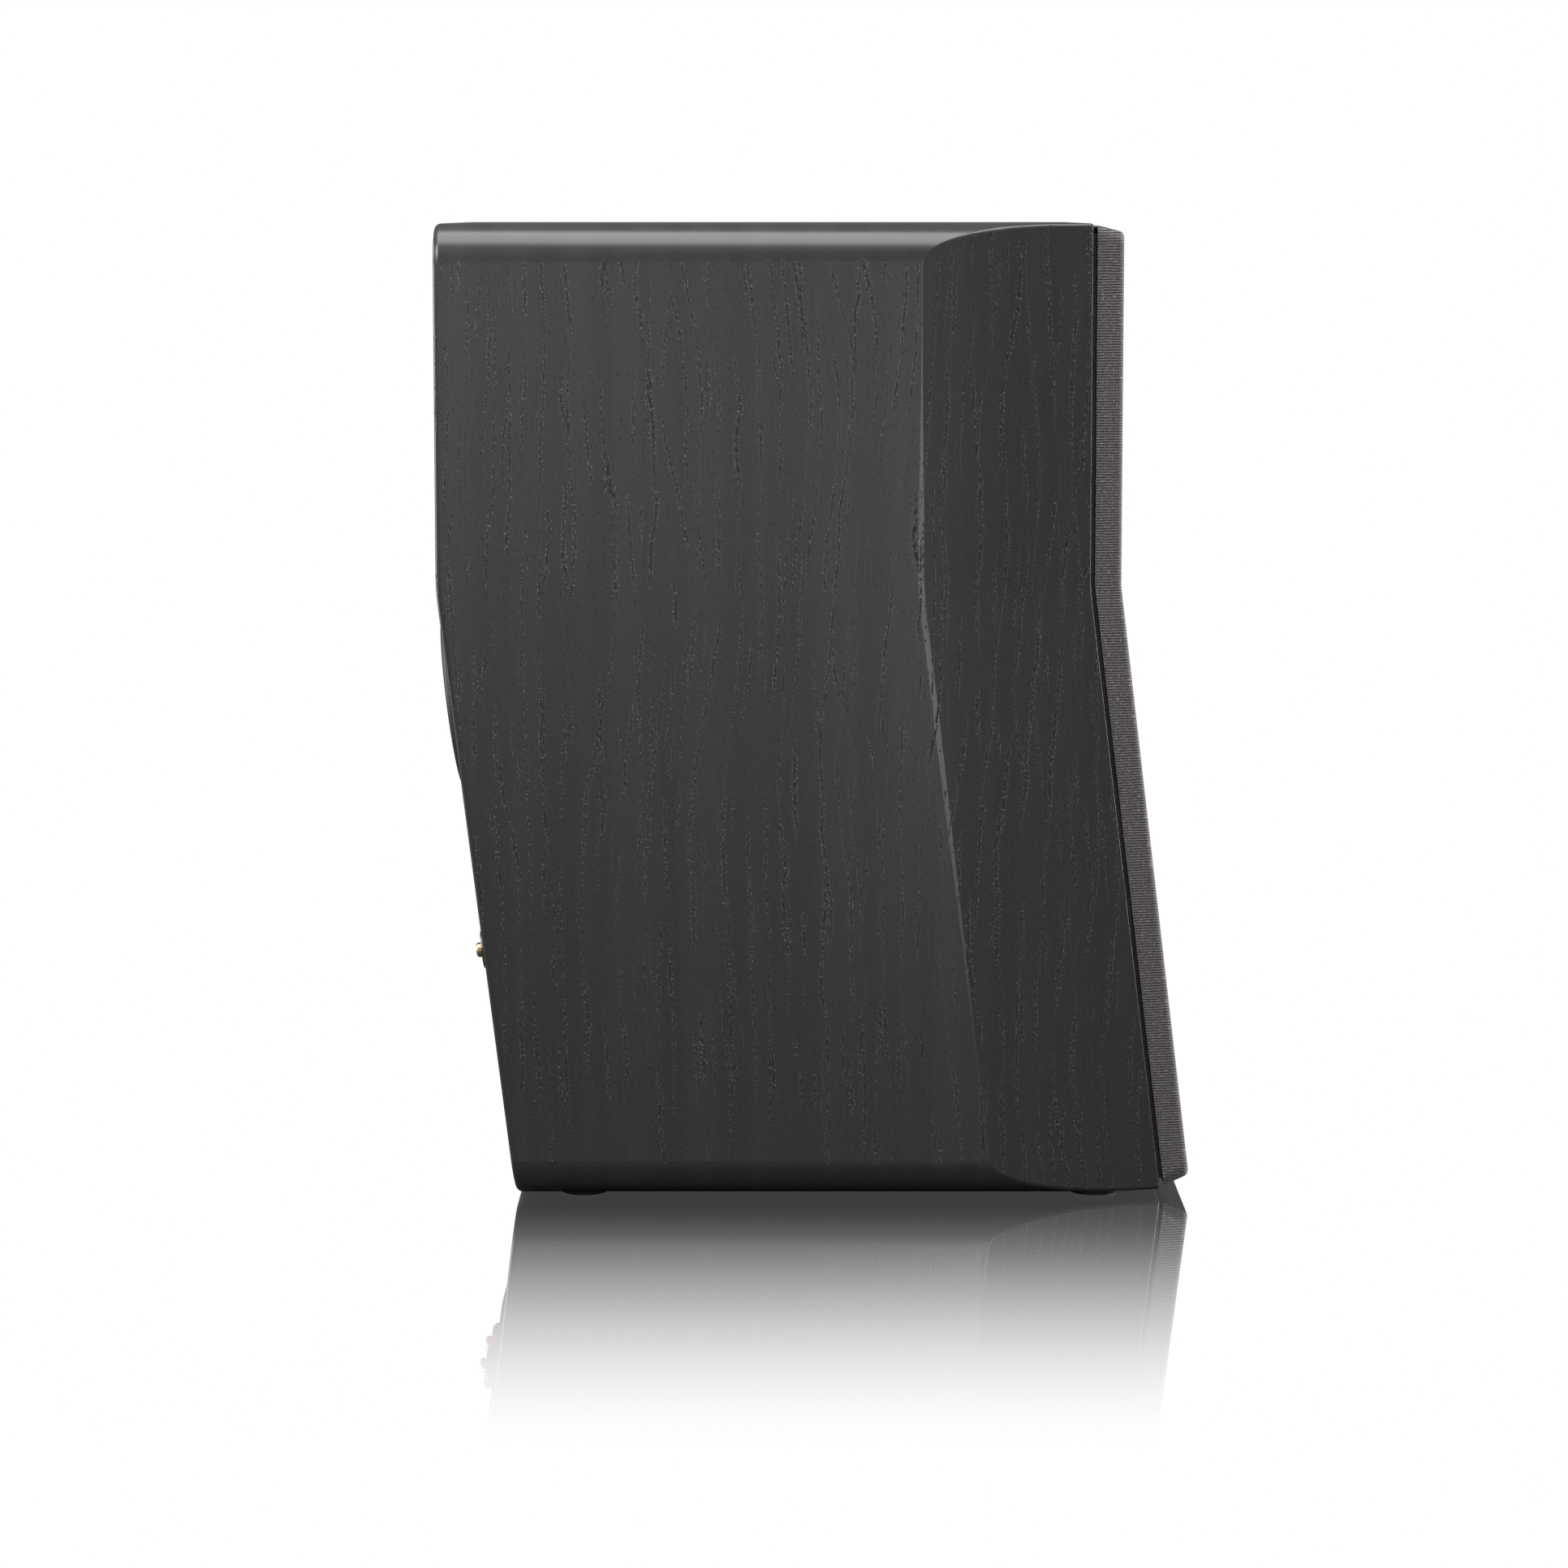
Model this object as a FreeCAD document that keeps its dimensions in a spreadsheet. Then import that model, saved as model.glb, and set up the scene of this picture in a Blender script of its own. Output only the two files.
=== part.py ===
import FreeCAD, Part
import math
import os
import re

import Sketcher

from FreeCAD import Placement, Rotation, Vector

# A two-way bookshelf speaker. Millimetres. +Z is up, the listening side faces -Y, the terminals face +Y.
# The origin is on the shelf, midway across the width and midway between grille and port flange.
# The cabinet is vertical above a bend and leans forward below it, at the back and at the front alike.

DIMENSIONS = {
    # cabinet envelope
    "cabinet_height": 380.0,
    "cabinet_width": 216.0,
    "rear_plane": 144.98,  # y of the upper part of the back
    "body_depth": 254.4,  # from the back to the front of the baffle, the same at every height
    "bend_height": 241.5,  # above the shelf
    "lean_angle": 7.0,
    "bend_radius": 90.0,
    "long_edge_radius": 15.0,
    "facet_length": 66.6,  # the slanted stretch of each side, measured back from the baffle
    "facet_depth": 17.0,
    "crease_radius": 10.0,
    "facet_end_radius": 1.5,
    "front_edge_radius": 1.0,
    "rear_edge_radius": 2.5,
    "panel": 19.0,
    "baffle_depth": 25.0,
    "brace_height": 249.0,
    "brace_thickness": 16.0,
    "brace_rim": 24.0,
    # feet
    "foot_height": 2.3,
    "foot_radius": 9.0,
    "foot_inset": 26.0,
    # grille
    "grille_gap": 1.7,
    "grille_depth": 10.6,
    "grille_inset": 0.7,
    "grille_bevel": 14.3,
    "grille_edge_radius": 2.0,
    "grille_standoff": 0.3,
    "grille_step_inset": 4.0,
    "cloth": 0.6,
    "window_half_width": 74.0,
    "window_margin": 14.0,
    "window_corner": 10.0,
    "crossbar": 18.0,
    "grille_magnet_radius": 4.0,
    "grille_magnet_depth": 3.0,
    "baffle_magnet_depth": 5.0,
    "baffle_skin": 1.5,
    "magnet_spread": 80.5,
    "magnet_edge": 13.0,
    # woofer, heights along its own axis from the front of the baffle
    "woofer_height": 132.0,
    "woofer_radius": 83.0,
    "woofer_hole": 73.2,
    "woofer_flange": 5.0,
    "gasket": 1.0,
    "recess_play": 0.4,
    "shelf_depth": 3.6,
    "shelf_radius": 76.5,
    "basket_wall": 3.0,
    "basket_top_radius": 72.5,
    "basket_shoulder": 22.0,
    "basket_base": 56.0,
    "basket_base_radius": 50.0,
    "basket_floor": 3.0,
    "basket_window": 34.0,
    "spider_height": 45.3,
    "spider_seat": 5.5,
    "spider_radius": 51.5,
    "spider_wave": 1.1,
    "spider_sheet": 0.6,
    "woofer_screw_circle": 79.75,
    "cone_radius": 63.0,
    "cone_neck": 37.0,
    "cone_sheet": 1.2,
    "surround_lip": 2.5,
    "surround_roll": 5.2,
    "surround_sheet": 0.6,
    "cap_radius": 24.0,
    "cap_rise": 8.0,
    "cap_sheet": 0.6,
    "coil_radius": 19.0,
    "coil_former": 0.3,
    "coil_winding": 0.7,
    "coil_bottom": 72.0,
    "winding_middle": 60.0,
    "winding_length": 14.0,
    "woofer_plate": 8.0,
    "woofer_plate_radius": 46.0,
    "woofer_magnet": 18.0,
    "woofer_magnet_radius": 50.0,
    "woofer_magnet_hole": 27.0,
    "woofer_back_plate": 6.0,
    "coil_play": 0.4,
    "pole_play": 0.6,
    "pole_vent": 6.0,
    "pole_top": 54.0,
    # tweeter, heights along its own axis from the front of the baffle
    "tweeter_height": 310.0,
    "tweeter_radius": 52.0,
    "tweeter_hole": 38.0,
    "faceplate": 4.0,
    "waveguide_mouth": 28.0,
    "waveguide_throat": 17.0,
    "waveguide_depth": 3.2,
    "faceplate_rib": 0.4,
    "rib_radius": 20.0,
    "tweeter_screw_circle": 46.0,
    "dome_radius": 12.8,
    "dome_rise": 4.6,
    "dome_sheet": 0.3,
    "dome_roll": 1.6,
    "tweeter_lip_radius": 19.0,
    "tweeter_coil_play": 0.5,
    "tweeter_winding": 0.4,
    "tweeter_coil_length": 4.6,
    "tweeter_plate": 4.0,
    "tweeter_motor_radius": 34.0,
    "tweeter_magnet": 12.6,
    "tweeter_magnet_hole": 17.5,
    "tweeter_back_plate": 5.0,
    "tweeter_vent": 4.0,
    "chamber_radius": 30.0,
    "chamber_depth": 26.0,
    "chamber_wall": 2.0,
    # fasteners
    "screw_radius": 2.0,
    "screw_head_radius": 3.4,
    "screw_head": 2.5,
    "screw_length": 20.0,
    "screw_socket": 1.5,
    "screw_play": 0.1,
    # bass port, heights along its own axis from the back
    "port_height": 188.7,
    "port_radius": 25.0,
    "port_wall": 3.0,
    "port_length": 122.0,
    "flange_radius": 40.0,
    "flange_height": 7.6,
    "flange_lip": 5.0,
    "flange_spigot": 32.0,
    "throat_depth": 19.0,
    "inner_flare_radius": 37.0,
    "inner_flare_length": 16.0,
    # terminals, heights along their own axis from the back
    "terminal_height": 88.0,
    "plate_width": 96.0,
    "plate_height": 66.0,
    "plate_thickness": 3.0,
    "plate_corner": 8.0,
    "cup_width": 78.0,
    "cup_height": 46.0,
    "cup_depth": 20.0,
    "cup_wall": 2.0,
    "cup_corner": 7.0,
    "terminal_screw_x": 42.0,
    "terminal_screw_y": 27.0,
    "post_spread": 19.0,
    "post_radius": 3.0,
    "post_tip": 9.9,
    "post_chamfer": 0.7,
    "post_tail": 31.0,
    "post_collar_radius": 8.0,
    "post_collar": 4.0,
    "banana_radius": 2.0,
    "banana_depth": 18.0,
    "wire_hole_radius": 1.3,
    "wire_hole_height": 14.2,
    "washer_radius": 7.5,
    "washer": 1.5,
    "clamp_gap": 0.3,
    "thread_play": 0.06,
    "knob_radius": 9.0,
    "knob_waist": 7.2,
    "knob_tip": 7.5,
    "knob_flute": 1.0,
    "nut_radius": 5.5,
    "nut": 3.5,
    # crossover
    "board_width": 130.0,
    "board_front": -20.0,
    "board_rear": 78.0,
    "board_thickness": 1.6,
    "standoff": 6.0,
    "standoff_radius": 3.5,
    "board_margin": 7.0,
    # damping and wiring
    "wadding": 12.0,
    "top_pad_width": 156.0,
    "top_pad_front": -72.0,
    "top_pad_rear": 112.0,
    "side_pad_front": -80.0,
    "side_pad_rear": 82.0,
    "side_pad_low": 45.0,
    "side_pad_high": 165.0,
    "wire_radius": 1.2,
}

FLUTES = 18
WOOFER_SCREWS = 6
TWEETER_SCREWS = 4
BASKET_WINDOWS = 6
SPIDER_WAVES = 5

doc = FreeCAD.newDocument("speaker")
dims = doc.addObject("Spreadsheet::Sheet", "dims")
for row, (name, number) in enumerate(DIMENSIONS.items(), start=1):
    dims.set(f"A{row}", name)
    dims.set(f"B{row}", str(number))
    dims.setAlias(f"B{row}", name)
doc.recompute()

parts = {}


# ---------------------------------------------------------------- expressions


def bound(text):
    """The expression with every dimension's name pointing at the sheet."""
    return re.sub(r"[a-z_]+", lambda word: f"dims.{word[0]}" if word[0] in DIMENSIONS else word[0], text)


def value(text):
    """What an expression of the sheet's dimensions comes to."""
    return float(dims.evalExpression(bound(text)))


TOP = "(foot_height + cabinet_height)"
BOTTOM = "foot_height"
HALF = "cabinet_width / 2"
INSIDE = "(cabinet_width / 2 - panel)"
FRONT = "(rear_plane - body_depth)"
BEND_SET = "(bend_radius * tan(lean_angle / 2))"


def shift(height):
    """How far forward the cabinet has leaned at a height below the bend."""
    return f"((bend_height - ({height})) * tan(lean_angle))"


# ---------------------------------------------------------------- sketches and features


def pin_point(sketch, geometry, end, x, y):
    """Fixes one end of a curve at two expressions."""
    for axis, text, line in (("DistanceX", x, -2), ("DistanceY", y, -1)):
        number = value(text)
        if abs(number) < 1e-9:
            sketch.addConstraint(Sketcher.Constraint("PointOnObject", geometry, end, line))
            continue
        index = sketch.addConstraint(Sketcher.Constraint(axis, -1, 1, geometry, end, number))
        sketch.setExpression(f"Constraints[{index}]", bound(text))


def add_arc(sketch, start, finish, radius, turn):
    """An arc under half a circle from start to finish, and which of its ends is the finish."""
    chord = finish - start
    rise = math.sqrt(max(radius**2 - (chord.Length / 2) ** 2, 0))
    left = Vector(-chord.y, chord.x, 0).normalize()
    centre = (start + finish) / 2 + left * rise * turn
    circle = Part.Circle(centre, Vector(0, 0, 1), radius)
    first, last = (start, finish) if turn > 0 else (finish, start)
    angles = [math.atan2(point.y - centre.y, point.x - centre.x) for point in (first, last)]
    geometry = sketch.addGeometry(Part.ArcOfCircle(circle, *angles), False)
    return geometry, (2 if turn > 0 else 1)


def draw(sketch, outline):
    """A closed outline of corners (x, y). A corner (x, y, radius, turn) is reached by an arc."""
    points = [Vector(value(corner[0]), value(corner[1]), 0) for corner in outline]
    ends = []
    for index, corner in enumerate(outline):
        start = points[index - 1]
        if len(corner) == 2:
            ends.append((sketch.addGeometry(Part.LineSegment(start, points[index]), False), 2))
        else:
            geometry, end = add_arc(sketch, start, points[index], value(corner[2]), corner[3])
            ends.append((geometry, end))
            radius = sketch.addConstraint(Sketcher.Constraint("Radius", geometry, value(corner[2])))
            sketch.setExpression(f"Constraints[{radius}]", bound(corner[2]))
    for index, (geometry, end) in enumerate(ends):
        before, before_end = ends[index - 1]
        sketch.addConstraint(Sketcher.Constraint("Coincident", before, before_end, geometry, 3 - end))
        pin_point(sketch, geometry, end, *outline[index][:2])


def draw_circle(sketch, x, y, radius):
    centre = Vector(value(x), value(y), 0)
    circle = Part.Circle(centre, Vector(0, 0, 1), value(radius))
    geometry = sketch.addGeometry(circle, False)
    pin_point(sketch, geometry, 3, x, y)
    index = sketch.addConstraint(Sketcher.Constraint("Radius", geometry, value(radius)))
    sketch.setExpression(f"Constraints[{index}]", bound(radius))


def rectangle(x0, x1, y0, y1, corner="0"):
    """An outline from x0, y0 to x1, y1, with rounded corners where a radius is given."""
    if corner == "0":
        return [(x0, y0), (x1, y0), (x1, y1), (x0, y1)]
    return [
        (f"{x1} - {corner}", y0),
        (x1, f"{y0} + {corner}", corner, 1),
        (x1, f"{y1} - {corner}"),
        (f"{x1} - {corner}", y1, corner, 1),
        (f"{x0} + {corner}", y1),
        (x0, f"{y1} - {corner}", corner, 1),
        (x0, f"{y0} + {corner}"),
        (f"{x0} + {corner}", y0, corner, 1),
    ]


def new_body(label, place):
    body = doc.addObject("PartDesign::Body", label)
    body.Placement = place
    return body


def new_sketch(body, plane, outlines=(), circles=(), height="0"):
    """A sketch on one of the body's own origin planes, moved along the plane's normal by height."""
    sketch = body.newObject("Sketcher::SketchObject", body.Label + "_sketch")
    support = next(feature for feature in body.Origin.OriginFeatures if feature.Role == plane)
    sketch.AttachmentSupport = (support, [""])
    sketch.MapMode = "FlatFace"
    sketch.AttachmentOffset = Placement(Vector(0, 0, value(height)), Rotation())
    sketch.setExpression(".AttachmentOffset.Base.z", bound(height))
    for outline in outlines:
        draw(sketch, outline)
    for circle in circles:
        draw_circle(sketch, *circle)
    return sketch


def add_pad(body, sketch, length, downwards=False):
    pad = body.newObject("PartDesign::Pad", body.Label + "_pad")
    pad.Profile = sketch
    pad.Reversed = downwards
    pad.setExpression("Length", bound(length))
    return pad


def add_pocket(body, sketch, length, upwards=False):
    """Cuts the sketch down into the body, or upwards, and makes sure that something was cut."""
    doc.recompute()
    before = body.Shape.Volume
    pocket = body.newObject("PartDesign::Pocket", body.Label + "_pocket")
    pocket.Profile = sketch
    pocket.Reversed = upwards
    pocket.setExpression("Length", bound(length))
    doc.recompute()
    if body.Shape.Volume > before - 1e-3:
        raise RuntimeError(f"{body.Label}: a pocket cut nothing")
    return pocket


def add_pattern(body, feature, count, axis_sketch):
    """Repeats a feature evenly round the local Z axis."""
    pattern = body.newObject("PartDesign::PolarPattern", body.Label + "_pattern")
    pattern.Originals = [feature]
    pattern.Axis = (axis_sketch, ["N_Axis"])
    pattern.Angle = 360
    pattern.Occurrences = count
    body.Tip = pattern
    doc.recompute()
    return pattern


def turned(label, outline, place):
    """A body of revolution about its own Z axis, from corners (radius, height)."""
    body = new_body(label, place)
    sketch = new_sketch(body, "XZ_Plane", [outline])
    revolution = body.newObject("PartDesign::Revolution", label + "_turned")
    revolution.Profile = sketch
    revolution.ReferenceAxis = (sketch, ["V_Axis"])
    revolution.Angle = 360
    doc.recompute()
    return body


def ring(label, inner, outer, low, high, place):
    return turned(label, rectangle(inner, outer, low, high), place)


def drill_round(body, radius, circle_radius, count, top, depth):
    """A ring of round holes from a height downwards."""
    sketch = new_sketch(body, "XY_Plane", circles=[("0", circle_radius, radius)], height=top)
    pocket = add_pocket(body, sketch, depth)
    add_pattern(body, pocket, count, sketch)


def box(label, x, y, z):
    """A block between pairs of expressions on each axis."""
    block = doc.addObject("Part::Box", label)
    for side, letter, (low, high) in (("Length", "x", x), ("Width", "y", y), ("Height", "z", z)):
        block.setExpression(side, bound(f"({high}) - ({low})"))
        block.setExpression(f".Placement.Base.{letter}", bound(low))
    return block


def cylinder(label, radius, low, high, place):
    """A round bar along the local Z of a place, between two heights."""
    bar = doc.addObject("Part::Cylinder", label)
    bar.setExpression("Radius", bound(radius))
    bar.setExpression("Height", bound(f"({high}) - ({low})"))
    bar.Placement = place.multiply(Placement(Vector(0, 0, value(low)), Rotation()))
    return bar


def combine(kind, label, first, *others):
    """Part::Cut, Part::Common or Part::Fuse of the first shape with all the others together."""
    tool = others[0]
    if len(others) > 1:
        tool = doc.addObject("Part::MultiFuse", label + "_tools")
        tool.Shapes = list(others)
    result = doc.addObject(kind, label)
    result.Base = first
    result.Tool = tool
    doc.recompute()
    return result


def group(label, pieces):
    """Separate identical or related pieces that share one node."""
    compound = doc.addObject("Part::Compound", label)
    compound.Links = pieces
    return compound


def copies(label, original, places):
    """The original once at each place, as separate solids in one node."""
    links = []
    for number, place in enumerate(places):
        link = doc.addObject("App::Link", f"{label}_{number}")
        link.LinkedObject = original
        link.LinkTransform = False
        link.LinkPlacement = place
        links.append(link)
    return group(label, links)


def rounded(label, base, choose, radius, end_radius=None):
    """Rounds the base's edges for which choose(bounds) holds."""
    doc.recompute()
    fillet = doc.addObject("Part::Fillet", label)
    fillet.Base = base
    last = radius if end_radius is None else end_radius
    edges = enumerate(base.Shape.Edges, start=1)
    fillet.Edges = [(number, value(radius), value(last)) for number, edge in edges if choose(edge.BoundBox)]
    doc.recompute()
    return fillet


def mirrored(label, half):
    """The half and its mirror image across the plane x = 0, as one solid."""
    image = doc.addObject("Part::Mirroring", label + "_image")
    image.Source = half
    image.Normal = (1, 0, 0)
    image.Base = (0, 0, 0)
    whole = combine("Part::Fuse", label, half, image)
    whole.Refine = True
    doc.recompute()
    return whole


# ---------------------------------------------------------------- places


def front_place(height, tilt):
    """A place on the front of the baffle whose Z axis points at the listener."""
    y = value(FRONT)
    if tilt:
        y -= value(shift(str(height)))
    return Placement(Vector(0, y, height), Rotation(Vector(1, 0, 0), 90 - tilt))


def rear_place(height):
    """A place on the leaning back whose Z axis points away from the cabinet."""
    tilt = value("lean_angle")
    y = value("rear_plane") - value(shift(str(height)))
    return Placement(Vector(0, y, height), Rotation(Vector(1, 0, 0), -90 - tilt))


def moved(place, x, y, z=0.0):
    return place.multiply(Placement(Vector(x, y, z), Rotation()))


def around(place, circle_radius, count):
    """Places evenly round a place's Z axis, the first straight above it."""
    radius = value(circle_radius)
    angles = [math.radians(360 * index / count + 90) for index in range(count)]
    return [moved(place, radius * math.cos(angle), radius * math.sin(angle)) for angle in angles]


WOOFER = front_place(value("woofer_height"), value("lean_angle"))
TWEETER = front_place(value("tweeter_height"), 0.0)
PORT = rear_place(value("port_height"))
TERMINALS = rear_place(value("terminal_height"))


# ---------------------------------------------------------------- cabinet


def bent_outline(back, front, low, high, curved=True):
    """A side view between two parallel bent lines: back and front are their y above the bend."""
    arc_back = (f"{back} - {BEND_SET} * sin(lean_angle)", f"bend_height - {BEND_SET} * cos(lean_angle)")
    arc_front = (f"{front} - {BEND_SET} * sin(lean_angle)", f"bend_height - {BEND_SET} * cos(lean_angle)")
    if curved:
        down = [(back, f"bend_height + {BEND_SET}"), (*arc_back, "bend_radius", -1)]
        up = [arc_front, (front, f"bend_height + {BEND_SET}", "bend_radius", 1)]
    else:
        down = [(back, "bend_height")]
        up = [(front, "bend_height")]
    ends = [(f"{back} - {shift(low)}", low), (f"{front} - {shift(low)}", low)]
    return [(back, high), *down, *ends, *up, (front, high)]


def side_sketch(label, outline, x="0"):
    """A sketch in the plane of the side view, at a distance across the width."""
    sketch = doc.addObject("Sketcher::SketchObject", label)
    sketch.Placement = Placement(Vector(value(x), 0, 0), Rotation(Vector(1, 1, 1), 120))
    sketch.setExpression(".Placement.Base.x", bound(x))
    draw(sketch, outline)
    return sketch


def extruded(label, sketch, forward, backward="0", direction=Vector(1, 0, 0)):
    bar = doc.addObject("Part::Extrusion", label)
    bar.Base = sketch
    bar.DirMode = "Custom"
    bar.Dir = direction
    bar.Solid = True
    bar.setExpression("LengthFwd", bound(forward))
    bar.setExpression("LengthRev", bound(backward))
    doc.recompute()
    return bar


def facet_tool(label, inset):
    """The wedge beyond a facet: the side view's front stretch, swept along the facet's slant."""
    start = f"{FRONT} + facet_length"
    outline = bent_outline(start, f"{start} - 2 * body_depth", "-panel", f"{TOP} + panel")
    sketch = side_sketch(label + "_sketch", outline, f"{HALF} - {inset}")
    slant = Vector(-value("facet_depth"), -value("facet_length"), 0)
    return extruded(label, sketch, "2 * facet_length", "facet_length", slant)


def is_long_edge(bounds):
    outer = bounds.XMin > value(HALF) - 1e-3
    return outer and bounds.YLength > value("body_depth") / 2 and bounds.ZLength < 1e-3


def is_crease(bounds):
    outer = abs(bounds.XMax - value(HALF)) < 0.05 and abs(bounds.XMin - value(HALF)) < 0.05
    return outer and bounds.YMax < 0 and bounds.ZLength > 1


def is_facet_end(bounds):
    return bounds.XLength > value("long_edge_radius") - 1 and bounds.YLength > 50 and bounds.ZLength > 10


def is_front_edge(bounds):
    edge = value(f"{HALF} - facet_depth")
    upright = abs(bounds.XMin - edge) < 0.1 and abs(bounds.XMax - edge) < 0.1 and bounds.ZLength > 1
    level = bounds.XLength > edge - 1 and bounds.YLength < 1e-3 and bounds.YMax < 0 and bounds.ZLength < 1e-3
    ends = min(abs(bounds.ZMin - value(height)) for height in (TOP, BOTTOM)) < 1e-3
    return upright or (level and ends)


def is_front_corner(bounds):
    return bounds.ZLength < 1e-3 and 0.5 < bounds.XLength < 5 and bounds.YMax < 0


def is_rear_edge(bounds):
    rear = bounds.YMin > value("rear_plane") - value(shift(BOTTOM)) - 0.1
    bend_line = bounds.XLength > 50 and abs(bounds.ZMin - value("bend_height")) < 20
    centre_line = bounds.XMax < 1e-3
    return rear and not bend_line and not centre_line


def outer_edges(shape):
    """Edges of the half cabinet to round, each with the radius at its two ends.

    The creases come first, because each leads the chain that runs into a front corner.
    """
    crease, end, front, rear = (
        value(name) for name in ("crease_radius", "facet_end_radius", "front_edge_radius", "rear_edge_radius")
    )
    creases, ends, corners, fronts, rears = [], [], [], [], []
    for number, edge in enumerate(shape.Edges, start=1):
        bounds = edge.BoundBox
        if is_crease(bounds):
            creases.append((number, crease, crease))
        elif is_facet_end(bounds):
            at_crease = abs(edge.Vertexes[0].Point.x - value(HALF)) < 0.1
            ends.append((number, crease, end) if at_crease else (number, end, crease))
        elif is_front_corner(bounds):
            corners.append((number, end, end))
        elif is_front_edge(bounds):
            fronts.append((number, front, front))
        elif is_rear_edge(bounds):
            rears.append((number, rear, rear))
    return creases + ends + corners + fronts + rears


def make_envelope():
    """The cabinet's outer form as one solid, from which every panel is taken."""
    sketch = side_sketch("side_view", bent_outline("rear_plane", FRONT, BOTTOM, TOP))
    block = extruded("half_block", sketch, HALF)
    soft = rounded("half_soft", block, is_long_edge, "long_edge_radius")
    faceted = combine("Part::Cut", "half_faceted", soft, facet_tool("facet", "0"))
    finished = doc.addObject("Part::Fillet", "half_finished")
    finished.Base = faceted
    finished.Edges = outer_edges(faceted.Shape)
    doc.recompute()
    return mirrored("envelope", finished)


def bent_slab(label, back, front, low, high, half_width):
    """A slab between two bent lines of the side view, centred across the width."""
    sketch = side_sketch(label + "_sketch", bent_outline(back, front, low, high, curved=False))
    return extruded(label, sketch, half_width, half_width)


def baffle_magnet_places():
    """Where the grille's magnets pull, as places on the front of the baffle."""
    tilt = value("lean_angle")
    upper = value(f"{TOP} - magnet_edge")
    middle = value("bend_height + crossbar / 2")
    lower = value(f"{BOTTOM} + magnet_edge + 3")
    spread = value("magnet_spread")
    rows = (front_place(upper, 0.0), front_place(middle, 0.0), front_place(lower, tilt))
    return [moved(place, side * spread, 0) for place in rows for side in (-1, 1)]


def driver_recess(name, place, hole, rim, depth):
    """The stepped hole that one driver sits in."""
    through = cylinder(name + "_through", hole, "-2 * baffle_depth", "panel", place)
    step = cylinder(name + "_step", f"{rim} + recess_play", f"-({depth})", "panel", place)
    return [through, step]


def screw_holes(name, places, head_top="0"):
    """Pilot holes for screws whose heads end at a height above each place."""
    low, high = f"{head_top} - screw_head - screw_length", "panel"
    radius = "screw_radius + screw_play / 2"
    return [cylinder(f"{name}_{index}", radius, low, high, place) for index, place in enumerate(places)]


def make_baffle(envelope):
    back, front = f"{FRONT} + baffle_depth", f"{FRONT} - panel"
    slab = bent_slab("baffle_slab", back, front, "-panel", f"{TOP} + panel", INSIDE)
    board = combine("Part::Common", "baffle_board", envelope, slab)
    tools = driver_recess("woofer_cut", WOOFER, "woofer_hole", "woofer_radius", "woofer_flange + gasket")
    tools += driver_recess("tweeter_cut", TWEETER, "tweeter_hole", "tweeter_radius", "faceplate + gasket")
    tools += screw_holes("woofer_pilot", around(WOOFER, "woofer_screw_circle", WOOFER_SCREWS))
    tools += screw_holes("tweeter_pilot", around(TWEETER, "tweeter_screw_circle", TWEETER_SCREWS))
    for index, place in enumerate(baffle_magnet_places()):
        name = f"magnet_bore_{index}"
        tools.append(cylinder(name, "grille_magnet_radius", "-2 * baffle_depth", "-baffle_skin", place))
    parts["front_baffle"] = combine("Part::Cut", "front_baffle", board, *tools)
    magnets = []
    for index, place in enumerate(baffle_magnet_places()):
        name = f"baffle_magnet_{index}"
        low = "-baffle_skin - baffle_magnet_depth"
        magnets.append(cylinder(name, "grille_magnet_radius", low, "-baffle_skin", place))
    parts["baffle_magnets"] = group("baffle_magnets", magnets)


def make_back(envelope):
    back, front = "rear_plane + panel", "rear_plane - panel"
    slab = bent_slab("back_slab", back, front, "-panel", f"{TOP} + panel", INSIDE)
    board = combine("Part::Common", "back_board", envelope, slab)
    port_hole = cylinder("port_hole", "flange_spigot + screw_play", "-2 * panel", "panel", PORT)
    cup_hole = doc.addObject("Part::Box", "cup_hole")
    width, height, depth = "(cup_width + 1)", "(cup_height + 1)", "(3 * panel)"
    for side, text in (("Length", width), ("Width", height), ("Height", depth)):
        cup_hole.setExpression(side, bound(text))
    cup_hole.Placement = moved(TERMINALS, -value(width) / 2, -value(height) / 2, -value(depth) / 2)
    tools = [port_hole, cup_hole] + screw_holes("terminal_pilot", terminal_screw_places())
    parts["back_panel"] = combine("Part::Cut", "back_panel", board, *tools)


def make_cabinet():
    envelope = make_envelope()
    outside = "(cabinet_width / 2 + panel)"
    for name, x in (("left", (f"-{outside}", f"-{INSIDE}")), ("right", (INSIDE, outside))):
        wall = box(f"{name}_slab", x, ("-body_depth", "body_depth"), ("-panel", f"{TOP} + panel"))
        parts[f"side_panel_{name}"] = combine("Part::Common", f"side_panel_{name}", envelope, wall)
    make_baffle(envelope)
    make_back(envelope)
    back, front = "rear_plane - panel", f"{FRONT} + baffle_depth"
    for name, low, high in (
        ("top_panel", f"{TOP} - panel", f"{TOP} + panel"),
        ("bottom_panel", "-panel", f"{BOTTOM} + panel"),
        ("window_brace", "brace_height", "brace_height + brace_thickness"),
    ):
        core = bent_slab(name + "_core", back, front, "-panel", f"{TOP} + panel", INSIDE)
        layer = box(name + "_layer", (f"-{HALF}", HALF), ("-body_depth", "body_depth"), (low, high))
        board = combine("Part::Common", name + "_board", envelope, core)
        parts[name] = combine("Part::Common", name, board, layer)
    window = box(
        "brace_window",
        (f"-{INSIDE} + brace_rim", f"{INSIDE} - brace_rim"),
        (f"{FRONT} + baffle_depth + brace_rim", "rear_plane - panel - brace_rim"),
        ("0", TOP),
    )
    parts["window_brace"] = combine("Part::Cut", "window_brace_cut", parts["window_brace"], window)


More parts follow.
